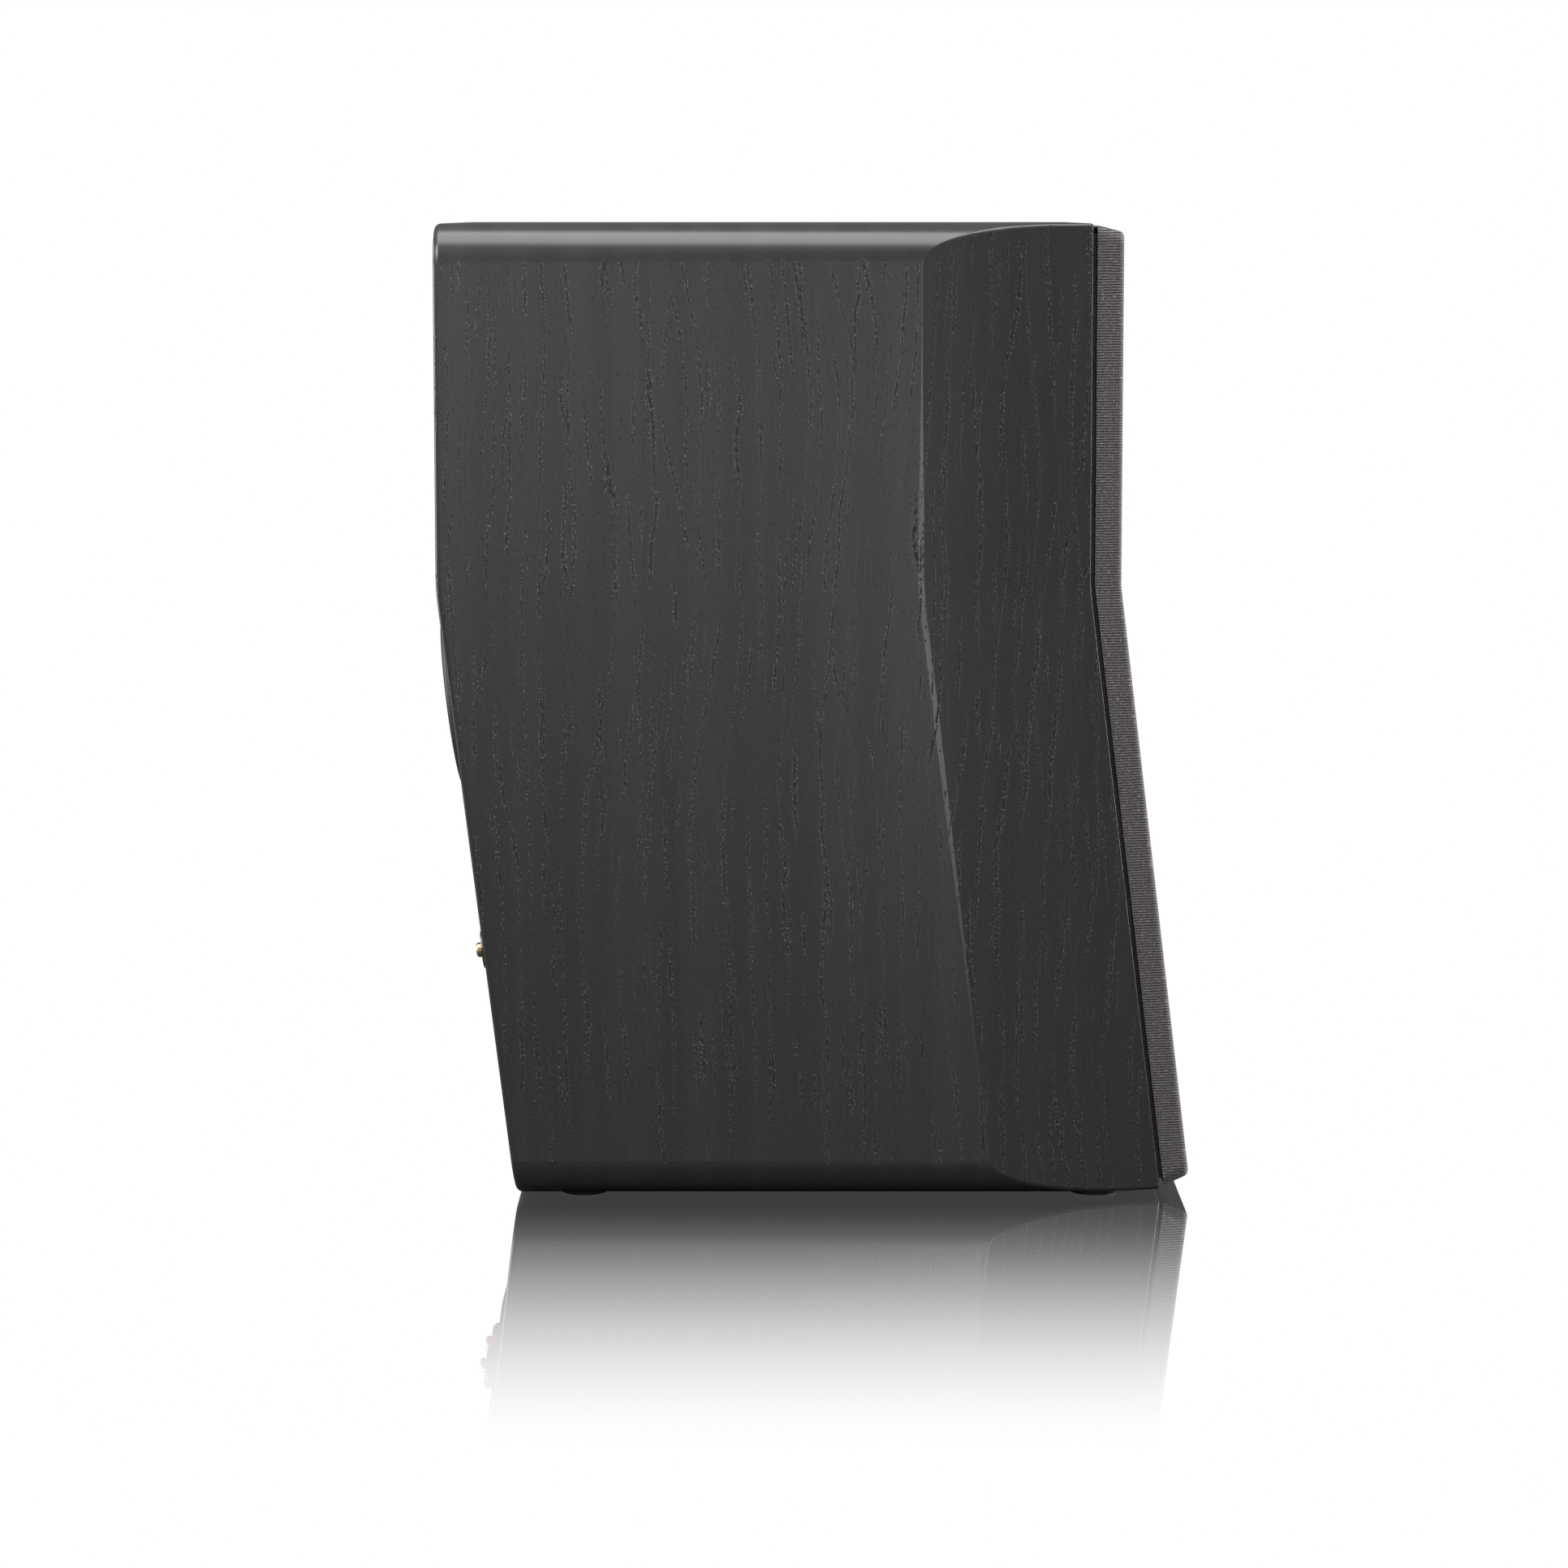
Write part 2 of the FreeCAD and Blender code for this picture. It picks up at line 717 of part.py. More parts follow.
def make_feet():
    """Four rubber pads under the bottom panel."""
    back = value(f"rear_plane - {shift(BOTTOM)} - foot_inset")
    front = value(f"{FRONT} - {shift(BOTTOM)} + foot_inset")
    side = value(f"{HALF} - foot_inset")
    pads = []
    for index, (x, y) in enumerate(((side, back), (-side, back), (side, front), (-side, front))):
        place = Placement(Vector(x, y, 0), Rotation())
        pads.append(cylinder(f"foot_{index}", "foot_radius", "0", "foot_height", place))
    parts["rubber_feet"] = group("rubber_feet", pads)


# ---------------------------------------------------------------- grille


def grille_outline(skin):
    """The grille's side view, with its top and bottom bevelled, reduced by a skin on all but its back."""
    depth = f"(grille_depth - {skin})"
    back = f"({FRONT} - grille_gap)"
    face = f"({back} - {depth})"
    top = f"({TOP} - grille_inset - {skin})"
    low = f"({BOTTOM} + grille_inset + {skin})"
    low_face = f"({low} + {depth} * (sin(lean_angle) + tan(grille_bevel) * cos(lean_angle)))"
    return [
        (back, top),
        (back, "bend_height"),
        (f"{back} - {shift(low)}", low),
        (f"{face} - {shift(low_face)}", low_face),
        (face, "bend_height"),
        (face, f"{top} - {depth} * tan(grille_bevel)"),
    ]


def make_grille_block(label, skin, radius):
    sketch = side_sketch(label + "_sketch", grille_outline(skin))
    block = extruded(label + "_block", sketch, HALF)
    facet = facet_tool(label + "_facet", f"(grille_inset + {skin})")
    cut = combine("Part::Cut", label + "_cut", block, facet)
    face = value(f"{FRONT} - grille_gap - grille_depth + {skin}")
    centre = 1e-3

    def is_face_edge(bounds):
        if bounds.XMax < centre or abs(bounds.ZMin - value("bend_height")) < 1e-3 and bounds.ZLength < 1e-3:
            return False
        top_edge = abs(bounds.YMin - face) < 1e-3 and bounds.YLength < 1e-3
        low_edge = bounds.YMin < face - 1 and bounds.YLength < 1e-3 and bounds.ZMin > 5
        slanted = bounds.YMin < face - 1 and bounds.YMax < face + 0.01
        return top_edge or low_edge or slanted

    soft = rounded(label + "_soft", cut, is_face_edge, radius)
    return mirrored(label, soft)


def window_tool(label, place, low, high):
    """A rounded window through the grille's frame."""
    body = new_body(label, place)
    outline = rectangle("-window_half_width", "window_half_width", low, high, "window_corner")
    add_pad(body, new_sketch(body, "XY_Plane", [outline], height="-panel"), "2 * panel")
    return body


def make_grille():
    cover = make_grille_block("grille_cover", "0", "grille_edge_radius")
    core = make_grille_block("grille_core", "cloth", "grille_edge_radius - cloth")
    parts["grille_cloth"] = combine("Part::Cut", "grille_cloth", cover, core)
    step_low, step_high = f"({BOTTOM} + grille_step_inset)", f"({TOP} - grille_step_inset)"
    step = bent_slab(
        "grille_step",
        f"({FRONT} - grille_standoff)",
        f"({FRONT} - grille_gap - 1)",
        step_low,
        step_high,
        f"({HALF} - facet_depth - grille_step_inset)",
    )
    blank = combine("Part::Fuse", "grille_blank", core, step)
    bend = front_place(value("bend_height"), 0.0)
    leaning = front_place(value("bend_height"), value("lean_angle"))
    windows = [
        window_tool("upper_window", bend, "crossbar", f"{TOP} - window_margin - bend_height"),
        window_tool("lower_window", leaning, f"{BOTTOM} + window_margin + 4 - bend_height", "0"),
    ]
    pockets = []
    magnets = []
    for index, place in enumerate(baffle_magnet_places()):
        low, high = "grille_standoff", "grille_standoff + grille_magnet_depth"
        pockets.append(cylinder(f"grille_pocket_{index}", "grille_magnet_radius", "0", high, place))
        magnets.append(cylinder(f"grille_magnet_{index}", "grille_magnet_radius", low, high, place))
    parts["grille_frame"] = combine("Part::Cut", "grille_frame", blank, *windows, *pockets)
    parts["grille_magnets"] = group("grille_magnets", magnets)


# ---------------------------------------------------------------- fasteners


def make_screw(label):
    """A socket-head screw whose head's top is at its origin."""
    outline = [
        ("0", "-screw_head - screw_length"),
        ("screw_radius", "-screw_head - screw_length"),
        ("screw_radius", "-screw_head"),
        ("screw_head_radius", "-screw_head"),
        ("screw_head_radius", "0"),
        ("0", "0"),
    ]
    body = turned(label, outline, Placement())
    corners = []
    for index in range(6):
        corners.append((f"screw_socket * cos({60 * index})", f"screw_socket * sin({60 * index})"))
    add_pocket(body, new_sketch(body, "XY_Plane", [corners]), "screw_head * 0.7")
    return body


def terminal_screw_places():
    x, y = value("terminal_screw_x"), value("terminal_screw_y")
    thickness = value("plate_thickness")
    return [moved(TERMINALS, sx * x, sy * y, thickness) for sx in (-1, 1) for sy in (-1, 1)]


def make_screws():
    master = make_screw("screw_master")
    woofer = around(WOOFER, "woofer_screw_circle", WOOFER_SCREWS)
    tweeter = around(TWEETER, "tweeter_screw_circle", TWEETER_SCREWS)
    parts["woofer_screws"] = copies("woofer_screws", master, woofer)
    parts["tweeter_screws"] = copies("tweeter_screws", master, tweeter)
    parts["terminal_screws"] = copies("terminal_screws", master, terminal_screw_places())


def sink_heads(body, circle_radius, count, thickness):
    """Counterbored holes for a ring of screws through a flange."""
    drill_round(body, "screw_head_radius + screw_play", circle_radius, count, "0", "screw_head")
    drill_round(body, "screw_radius + screw_play", circle_radius, count, "0", thickness)


# ---------------------------------------------------------------- woofer


def make_basket():
    wall = "basket_wall"
    outline = [
        ("woofer_radius", "0"),
        ("woofer_radius", "-woofer_flange"),
        ("basket_top_radius", "-woofer_flange"),
        ("basket_top_radius", "-basket_shoulder"),
        ("basket_base_radius", "-basket_base + 4"),
        ("basket_base_radius", "-basket_base"),
        ("coil_radius + 2", "-basket_base"),
        ("coil_radius + 2", "-basket_base + basket_floor"),
        ("spider_radius - spider_seat", "-basket_base + basket_floor"),
        ("spider_radius - spider_seat", "-spider_height"),
        ("spider_radius + 0.3", "-spider_height"),
        (f"basket_top_radius - {wall}", f"-basket_shoulder + {wall} / 3"),
        (f"basket_top_radius - {wall}", "-shelf_depth"),
        ("shelf_radius", "-shelf_depth"),
        ("shelf_radius", "0"),
    ]
    body = turned("woofer_basket", [(x, y) for x, y in reversed(outline)], WOOFER)
    half = "basket_window / 2"
    low, high = "-spider_height + 3", "-basket_shoulder - 2"
    sketch = new_sketch(body, "XZ_Plane", [rectangle(f"-{half}", half, low, high)])
    window = add_pocket(body, sketch, "woofer_radius")
    axis = new_sketch(body, "XY_Plane")
    add_pattern(body, window, BASKET_WINDOWS, axis)
    sink_heads(body, "woofer_screw_circle", WOOFER_SCREWS, "woofer_flange")
    parts["woofer_basket"] = body


def surround_outline(inner, middle, outer, roll, level, sheet):
    """A half roll between two flat lips; middle is the roll's centre radius."""
    outside = f"({roll} + {sheet})"
    reach = f"sqrt({outside} * {outside} - {sheet} * {sheet})"
    return [
        (inner, level),
        (f"{middle} - {roll}", level),
        (middle, f"{level} + {roll}", roll, -1),
        (f"{middle} + {roll}", level, roll, -1),
        (outer, level),
        (outer, f"{level} + {sheet}"),
        (f"{middle} + {reach}", f"{level} + {sheet}"),
        (middle, f"{level} + {outside}", outside, 1),
        (f"{middle} - {reach}", f"{level} + {sheet}", outside, 1),
        (inner, f"{level} + {sheet}"),
    ]


def make_woofer_cone():
    neck, edge = "(coil_radius + coil_former)", "cone_radius"
    lip = "(cone_radius - surround_lip)"
    outline = [
        (neck, "-cone_neck"),
        (f"{lip} + 1", "-shelf_depth - cone_sheet"),
        (edge, "-shelf_depth - cone_sheet"),
        (edge, "-shelf_depth"),
        (lip, "-shelf_depth"),
        (neck, "-cone_neck + 1.3 * cone_sheet"),
    ]
    parts["woofer_cone"] = turned("woofer_cone", outline, WOOFER)
    neck_top, run = "(-cone_neck + 1.3 * cone_sheet)", f"({lip} - {neck})"
    foot = f"({neck_top} + (cap_radius - {neck}) * (-shelf_depth - {neck_top}) / {run})"
    sphere = "((cap_radius * cap_radius + cap_rise * cap_rise) / (2 * cap_rise))"
    inner = f"({sphere} - cap_sheet)"
    inner_foot = f"sqrt({inner} * {inner} - ({sphere} - cap_rise) * ({sphere} - cap_rise))"
    cap = [
        ("cap_radius", foot),
        ("0", f"{foot} + cap_rise", sphere, 1),
        ("0", f"{foot} + cap_rise - cap_sheet"),
        (inner_foot, foot, inner, -1),
    ]
    parts["woofer_dust_cap"] = turned("woofer_dust_cap", cap, WOOFER)


def make_woofer_suspension():
    middle = "(cone_radius + surround_roll)"
    inner, outer = "cone_radius - surround_lip", "shelf_radius - 0.2"
    outline = surround_outline(inner, middle, outer, "surround_roll", "-shelf_depth", "surround_sheet")
    parts["woofer_surround"] = turned("woofer_surround", outline, WOOFER)
    start, finish = "(coil_radius + coil_former)", "(spider_radius - spider_seat)"
    steps = 2 * SPIDER_WAVES
    radii = [f"{start} + ({finish} - {start}) * {step} / {steps}" for step in range(steps + 1)]
    heights = [f"-spider_height + spider_wave * {step % 2}" for step in range(steps + 1)]
    low_side = list(zip(radii, heights)) + [("spider_radius", "-spider_height")]
    high_side = [(radius, f"{height} + spider_sheet") for radius, height in reversed(low_side)]
    parts["woofer_spider"] = turned("woofer_spider", low_side + high_side, WOOFER)


def make_woofer_motor():
    former, winding = "(coil_radius + coil_former)", "(coil_radius + coil_former + coil_winding)"
    half = "winding_length / 2"
    top = "-cone_neck + 3"
    label = "woofer_coil_former"
    parts[label] = ring(label, "coil_radius", former, "-coil_bottom", top, WOOFER)
    low, high = f"-winding_middle - {half}", f"-winding_middle + {half}"
    parts["woofer_voice_coil"] = ring("woofer_voice_coil", former, winding, low, high, WOOFER)
    plate = "(basket_base + woofer_plate)"
    magnet = f"({plate} + woofer_magnet)"
    back = f"({magnet} + woofer_back_plate)"
    gap, outer = f"{winding} + coil_play", "woofer_plate_radius"
    parts["woofer_top_plate"] = ring("woofer_top_plate", gap, outer, f"-{plate}", "-basket_base", WOOFER)
    hole, outer = "woofer_magnet_hole", "woofer_magnet_radius"
    parts["woofer_magnet"] = ring("woofer_magnet_ring", hole, outer, f"-{magnet}", f"-{plate}", WOOFER)
    yoke = [
        ("pole_vent", f"-{back}"),
        ("woofer_plate_radius", f"-{back}"),
        ("woofer_plate_radius", f"-{magnet}"),
        ("coil_radius - pole_play", f"-{magnet}"),
        ("coil_radius - pole_play", "-pole_top"),
        ("pole_vent", "-pole_top"),
    ]
    parts["woofer_yoke"] = turned("woofer_yoke", yoke, WOOFER)


def make_woofer_gasket():
    low, high = "-woofer_flange - gasket", "-woofer_flange"
    body = ring("woofer_gasket", "woofer_hole + 1", "woofer_radius - 0.5", low, high, WOOFER)
    drill_round(body, "screw_radius + screw_play", "woofer_screw_circle", WOOFER_SCREWS, high, "gasket")
    parts["woofer_gasket"] = body


# ---------------------------------------------------------------- tweeter


def make_faceplate():
    rib = "-faceplate - faceplate_rib"
    outline = [
        ("waveguide_throat", "-waveguide_depth"),
        ("waveguide_throat", "-faceplate"),
        ("rib_radius", "-faceplate"),
        ("rib_radius", rib),
        ("tweeter_motor_radius", rib),
        ("tweeter_motor_radius", "-faceplate"),
        ("tweeter_radius", "-faceplate"),
        ("tweeter_radius", "0"),
        ("waveguide_mouth", "0"),
    ]
    body = turned("tweeter_faceplate", outline, TWEETER)
    sink_heads(body, "tweeter_screw_circle", TWEETER_SCREWS, "faceplate + 1")
    parts["tweeter_faceplate"] = body


def make_dome():
    level = "(-faceplate - faceplate_rib)"
    sphere = "((dome_radius * dome_radius + dome_rise * dome_rise) / (2 * dome_rise))"
    inner = f"({sphere} - dome_sheet)"
    inner_foot = f"sqrt({inner} * {inner} - ({sphere} - dome_rise) * ({sphere} - dome_rise))"
    dome = [
        ("dome_radius", level),
        ("0", f"{level} + dome_rise", sphere, 1),
        ("0", f"{level} + dome_rise - dome_sheet"),
        (inner_foot, level, inner, -1),
    ]
    parts["tweeter_dome"] = turned("tweeter_dome", dome, TWEETER)
    middle, outer = "(dome_radius + 0.2 + dome_roll)", "tweeter_lip_radius"
    outline = surround_outline("dome_radius", middle, outer, "dome_roll", level, "dome_sheet")
    parts["tweeter_surround"] = turned("tweeter_surround", outline, TWEETER)
    former_inside, winding = "dome_radius - 0.4", "dome_radius + tweeter_winding"
    coil = [
        (former_inside, f"{level} - tweeter_coil_length"),
        (winding, f"{level} - tweeter_coil_length"),
        (winding, f"{level} - 1"),
        ("dome_radius", f"{level} - 1"),
        ("dome_radius", level),
        (former_inside, level),
    ]
    parts["tweeter_voice_coil"] = turned("tweeter_voice_coil", coil, TWEETER)


def make_tweeter_motor():
    front = "(faceplate + faceplate_rib)"
    plate = f"({front} + tweeter_plate)"
    magnet = f"({plate} + tweeter_magnet)"
    back = f"({magnet} + tweeter_back_plate)"
    outer = "tweeter_motor_radius"
    gap = "dome_radius + tweeter_winding + tweeter_coil_play"
    parts["tweeter_top_plate"] = ring("tweeter_top_plate", gap, outer, f"-{plate}", f"-{front}", TWEETER)
    hole = "tweeter_magnet_hole"
    parts["tweeter_magnet"] = ring("tweeter_magnet_ring", hole, outer, f"-{magnet}", f"-{plate}", TWEETER)
    pole = "dome_radius - 0.4 - tweeter_coil_play"
    yoke = [
        ("tweeter_vent", f"-{back}"),
        (outer, f"-{back}"),
        (outer, f"-{magnet}"),
        (pole, f"-{magnet}"),
        (pole, f"-{front} - 1"),
        ("tweeter_vent", f"-{front} - 1"),
    ]
    parts["tweeter_yoke"] = turned("tweeter_yoke", yoke, TWEETER)
    chamber = [
        ("chamber_radius", f"-{back}"),
        ("chamber_radius - chamber_wall", f"-{back}"),
        ("chamber_radius - chamber_wall", f"-{back} - chamber_depth + chamber_wall"),
        ("0", f"-{back} - chamber_depth + chamber_wall"),
        ("0", f"-{back} - chamber_depth"),
        ("chamber_radius", f"-{back} - chamber_depth"),
    ]
    parts["tweeter_rear_chamber"] = turned("tweeter_rear_chamber", chamber, TWEETER)
    low, high = "-faceplate - gasket", "-faceplate"
    seal = ring("tweeter_gasket", "tweeter_hole + 1", "tweeter_radius - 0.5", low, high, TWEETER)
    drill_round(seal, "screw_radius + screw_play", "tweeter_screw_circle", TWEETER_SCREWS, high, "gasket")
    parts["tweeter_gasket"] = seal


# ---------------------------------------------------------------- port


def tangent_radius(spread, run):
    """The radius of an arc that leaves a straight tube smoothly and widens by spread over a run."""
    return f"(({spread} * {spread} + {run} * {run}) / (2 * {spread}))"


def make_port():
    """A straight tube between a flared flange outside and a flared end inside."""
    inside = "(port_radius + port_wall)"
    crest = "(flange_radius - flange_lip)"
    flare = tangent_radius(f"({crest} - port_radius)", "(flange_height + throat_depth)")
    flange = [
        ("flange_spigot", "-throat_depth"),
        ("flange_spigot", "0"),
        ("flange_radius", "0"),
        ("flange_radius", "flange_height - flange_lip"),
        (crest, "flange_height", "flange_lip", 1),
        ("port_radius", "-throat_depth", flare, 1),
    ]
    parts["port_flange"] = turned("port_flange", flange, PORT)
    parts["port_tube"] = ring("port_tube", "port_radius", inside, "-port_length", "-throat_depth", PORT)
    run = "inner_flare_length"
    bell = tangent_radius(f"(inner_flare_radius - {inside})", run)
    inner = [
        ("port_radius", "-port_length"),
        ("inner_flare_radius - port_wall", f"-port_length - {run}", bell, 1),
        ("inner_flare_radius", f"-port_length - {run}"),
        (inside, "-port_length", bell, -1),
    ]
    parts["port_inner_flare"] = turned("port_inner_flare", inner, PORT)


# ---------------------------------------------------------------- terminals


def centred_rectangle(width, height, corner):
    return rectangle(f"-({width}) / 2", f"({width}) / 2", f"-({height}) / 2", f"({height}) / 2", corner)


def make_terminal_cup():
    body = new_body("terminal_cup", TERMINALS)
    plate = centred_rectangle("plate_width", "plate_height", "plate_corner")
    shell = centred_rectangle("cup_width", "cup_height", "cup_corner")
    inside = ("cup_width - 2 * cup_wall", "cup_height - 2 * cup_wall", "(cup_corner - cup_wall)")
    hollow = centred_rectangle(*inside)
    add_pad(body, new_sketch(body, "XY_Plane", [plate]), "plate_thickness")
    add_pad(body, new_sketch(body, "XY_Plane", [shell]), "cup_depth + cup_wall", downwards=True)
    top = "plate_thickness"
    add_pocket(body, new_sketch(body, "XY_Plane", [hollow], height=top), "plate_thickness + cup_depth")
    studs = [(f"{side} * post_spread", "0", "post_radius") for side in (-1, 1)]
    add_pocket(body, new_sketch(body, "XY_Plane", circles=studs, height="-cup_depth"), "cup_wall")
    spots = [(f"{sx} * terminal_screw_x", f"{sy} * terminal_screw_y") for sx in (-1, 1) for sy in (-1, 1)]
    heads = [(x, y, "screw_head_radius + screw_play") for x, y in spots]
    shanks = [(x, y, "screw_radius + screw_play") for x, y in spots]
    add_pocket(body, new_sketch(body, "XY_Plane", circles=heads, height=top), "screw_head")
    add_pocket(body, new_sketch(body, "XY_Plane", circles=shanks, height=top), "plate_thickness")
    parts["terminal_cup"] = body


def make_posts():
    """Two studs, each with a collar, a socket in its end and a wire hole across it, and their nuts."""
    outline = [
        ("0", "-post_tail"),
        ("post_radius", "-post_tail"),
        ("post_radius", "-cup_depth"),
        ("post_collar_radius", "-cup_depth"),
        ("post_collar_radius", "-cup_depth + post_collar"),
        ("post_radius", "-cup_depth + post_collar"),
        ("post_radius", "post_tip - post_chamfer"),
        ("post_radius - post_chamfer", "post_tip"),
        ("banana_radius", "post_tip"),
        ("banana_radius", "post_tip - banana_depth"),
        ("0", "post_tip - banana_depth"),
    ]
    stud = turned("post_master", outline, Placement())
    circles = [("0", "-wire_hole_height", "wire_hole_radius")]
    hole = new_sketch(stud, "XZ_Plane", circles=circles, height="2 * post_radius")
    add_pocket(stud, hole, "4 * post_radius")
    places = [moved(TERMINALS, side * value("post_spread"), 0) for side in (-1, 1)]
    parts["post_studs"] = copies("post_studs", stud, places)
    nut = new_body("nut_master", Placement())
    corners = [(f"nut_radius * cos({60 * index})", f"nut_radius * sin({60 * index})") for index in range(6)]
    bore = [("0", "0", "post_radius")]
    add_pad(nut, new_sketch(nut, "XY_Plane", [corners], bore, height="-cup_depth - cup_wall - nut"), "nut")
    parts["post_nuts"] = copies("post_nuts", nut, places)


def make_knob(colour, side):
    """One screw cap and the captive washer that it presses on the wire."""
    place = moved(TERMINALS, side * value("post_spread"), 0)
    bore = "post_radius + thread_play"
    base = "(-cup_depth + post_collar + clamp_gap)"
    foot = f"({base} + washer + clamp_gap)"
    label = f"clamp_washer_{colour}"
    parts[label] = ring(label, bore, "washer_radius", base, f"{base} + washer", place)
    outline = [
        (bore, foot),
        ("knob_radius", foot),
        ("knob_radius", f"{foot} + 3"),
        ("knob_waist", f"{foot} + 4.5"),
        ("knob_waist", f"{foot} + 7"),
        ("knob_radius", f"{foot} + 8.5"),
        ("knob_radius", "knob_tip - 1.5"),
        ("knob_radius - 1.5", "knob_tip"),
        (bore, "knob_tip"),
    ]
    knob = turned(f"knob_{colour}", outline, place)
    flute = [("0", "knob_radius + 0.2", "knob_flute")]
    sketch = new_sketch(knob, "XY_Plane", circles=flute, height="knob_tip")
    pocket = add_pocket(knob, sketch, f"knob_tip - {foot} - 8.5")
    add_pattern(knob, pocket, FLUTES, sketch)
    parts[f"knob_{colour}"] = knob


# ---------------------------------------------------------------- crossover

FLOOR = f"({BOTTOM} + panel)"
BOARD = f"({FLOOR} + standoff)"
BOARD_TOP = f"({BOARD} + board_thickness)"


# Round parts lying on the board: the middle of each, its radius, length and direction.
CAPACITORS = {
    "capacitor_large": {"x": 28.0, "y": 58.0, "radius": 11.0, "length": 40.0, "along": Vector(1, 0, 0)},
    "capacitor_middle": {"x": 26.0, "y": 36.0, "radius": 8.0, "length": 34.0, "along": Vector(1, 0, 0)},
    "capacitor_small": {"x": -12.0, "y": -6.0, "radius": 7.0, "length": 30.0, "along": Vector(1, 0, 0)},
}
RESISTORS = {
    "resistor_first": {"x": -48.0, "y": 2.0, "radius": 4.5, "length": 26.0, "along": Vector(0, 1, 0)},
    "resistor_second": {"x": 56.0, "y": 8.0, "radius": 4.5, "length": 26.0, "along": Vector(0, 1, 0)},
}
# Coils standing on the board.
COILS = {
    "coil_large": {"x": -32.0, "y": 38.0, "inner": 10.0, "outer": 24.0, "height": 22.0},
    "coil_small": {"x": 34.0, "y": 8.0, "inner": 8.0, "outer": 17.0, "height": 16.0},
}


def lying_bars(label, layout):
    """Round components lying on the board."""
    bars = []
    for name, size in layout.items():
        bar = doc.addObject("Part::Cylinder", name)
        bar.Radius = size["radius"]
        bar.Height = size["length"]
        centre = Vector(size["x"], size["y"], value(BOARD_TOP) + size["radius"])
        start = centre - size["along"] * (size["length"] / 2)
        bar.Placement = Placement(start, Rotation(Vector(0, 0, 1), size["along"]))
        bars.append(bar)
    parts[label] = group(label, bars)


def standing_coils(label, layout):
    """Wound coils standing on the board."""
    coils = []
    for name, size in layout.items():
        place = Placement(Vector(size["x"], size["y"], value(BOARD_TOP)), Rotation())
        coils.append(ring(name, str(size["inner"]), str(size["outer"]), "0", str(size["height"]), place))
    parts[label] = group(label, coils)


def make_crossover():
    half = "board_width / 2"
    board = box("board_blank", (f"-{half}", half), ("board_front", "board_rear"), (BOARD, BOARD_TOP))
    corners = []
    for x in (-value(f"{half} - board_margin"), value(f"{half} - board_margin")):
        for y in (value("board_front + board_margin"), value("board_rear - board_margin")):
            corners.append(Placement(Vector(x, y, 0), Rotation()))
    hole = "screw_radius + screw_play"
    holes = []
    for index, place in enumerate(corners):
        holes.append(cylinder(f"board_hole_{index}", hole, BOARD, BOARD_TOP, place))
    parts["crossover_board"] = combine("Part::Cut", "crossover_board", board, *holes)
    spacer = ring("standoff_master", hole, "standoff_radius", FLOOR, BOARD, Placement())
    parts["crossover_standoffs"] = copies("crossover_standoffs", spacer, corners)
    head_top = f"{BOARD_TOP} + screw_head"
    outline = [
        ("0", FLOOR),
        ("screw_radius", FLOOR),
        ("screw_radius", BOARD_TOP),
        ("screw_head_radius", BOARD_TOP),
        ("screw_head_radius", head_top),
        ("0", head_top),
    ]
    screw = turned("board_screw_master", outline, Placement())
    parts["crossover_screws"] = copies("crossover_screws", screw, corners)
    standing_coils("crossover_inductors", COILS)
    lying_bars("crossover_capacitors", CAPACITORS)
    lying_bars("crossover_resistors", RESISTORS)


# ---------------------------------------------------------------- damping and wires


def make_wadding():
    """Soft pads against the top and the two side walls."""
    half, depth = "top_pad_width / 2", ("top_pad_front", "top_pad_rear")
    top = box("wadding_top", (f"-{half}", half), depth, (f"{TOP} - panel - wadding", f"{TOP} - panel"))
    depth, height = ("side_pad_front", "side_pad_rear"), ("side_pad_low", "side_pad_high")
    left = box("wadding_left", (f"-{INSIDE}", f"-{INSIDE} + wadding"), depth, height)
    right = box("wadding_right", (f"{INSIDE} - wadding", INSIDE), depth, height)
    parts["damping_wadding"] = group("damping_wadding", [top, left, right])


WIRE_MARGIN = 4.0  # from the board's edge
WIRE_SPACING = 2.5
TWEETER_LUG_RADIUS = 32.0  # on the yoke's rim, beside the rear chamber
WOOFER_WIRE_SPREAD = 5.0
TWEETER_WIRE_X = (-59.0, -55.0)
# The tweeter's wires go up behind the left pad and through the brace: y and z, then x offset, y and z.
TWEETER_WIRE_RISE = ((60, 60),)
TWEETER_WIRE_BENDS = ((-3, 52, 118), (0, 40, 178), (0, 22, 234), (6, -4, 282), (14, -40, 300))


def cable(label, points):
    """A wire of straight runs joined by tangent arcs, each as large as its two runs allow."""
    corners = [Vector(*point) for point in points]
    edges = []
    start = corners[0]
    for before, corner, after in zip(corners, corners[1:], corners[2:]):
        inward, outward = (before - corner), (after - corner)
        turn = math.pi - inward.getAngle(outward)
        cut = 0.45 * min(inward.Length, outward.Length)
        inward.normalize()
        outward.normalize()
        first, last = corner + inward * cut, corner + outward * cut
        radius = cut / math.tan(turn / 2)
        bisector = (inward + outward).normalize()
        centre = corner + bisector * (radius / math.cos(turn / 2))
        edges.append(Part.LineSegment(start, first).toShape())
        edges.append(Part.Arc(first, centre - bisector * radius, last).toShape())
        start = last
    edges.append(Part.LineSegment(start, corners[-1]).toShape())
    path = Part.Wire(edges)
    direction = (corners[1] - corners[0]).normalize()
    section = Part.Wire(Part.makeCircle(value("wire_radius"), corners[0], direction))
    wire = doc.addObject("Part::Feature", label)
    wire.Shape = path.makePipeShell([section], True, False)
    expected = math.pi * value("wire_radius") ** 2 * path.Length
    if abs(wire.Shape.Volume / expected - 1) > 0.01:
        raise RuntimeError(f"{label}: the wire's volume doesn't match its length")
    return wire


def run_wires(label, routes):
    wires = [cable(f"{label}_{index}", route) for index, route in enumerate(routes)]
    parts[label] = group(label, wires)


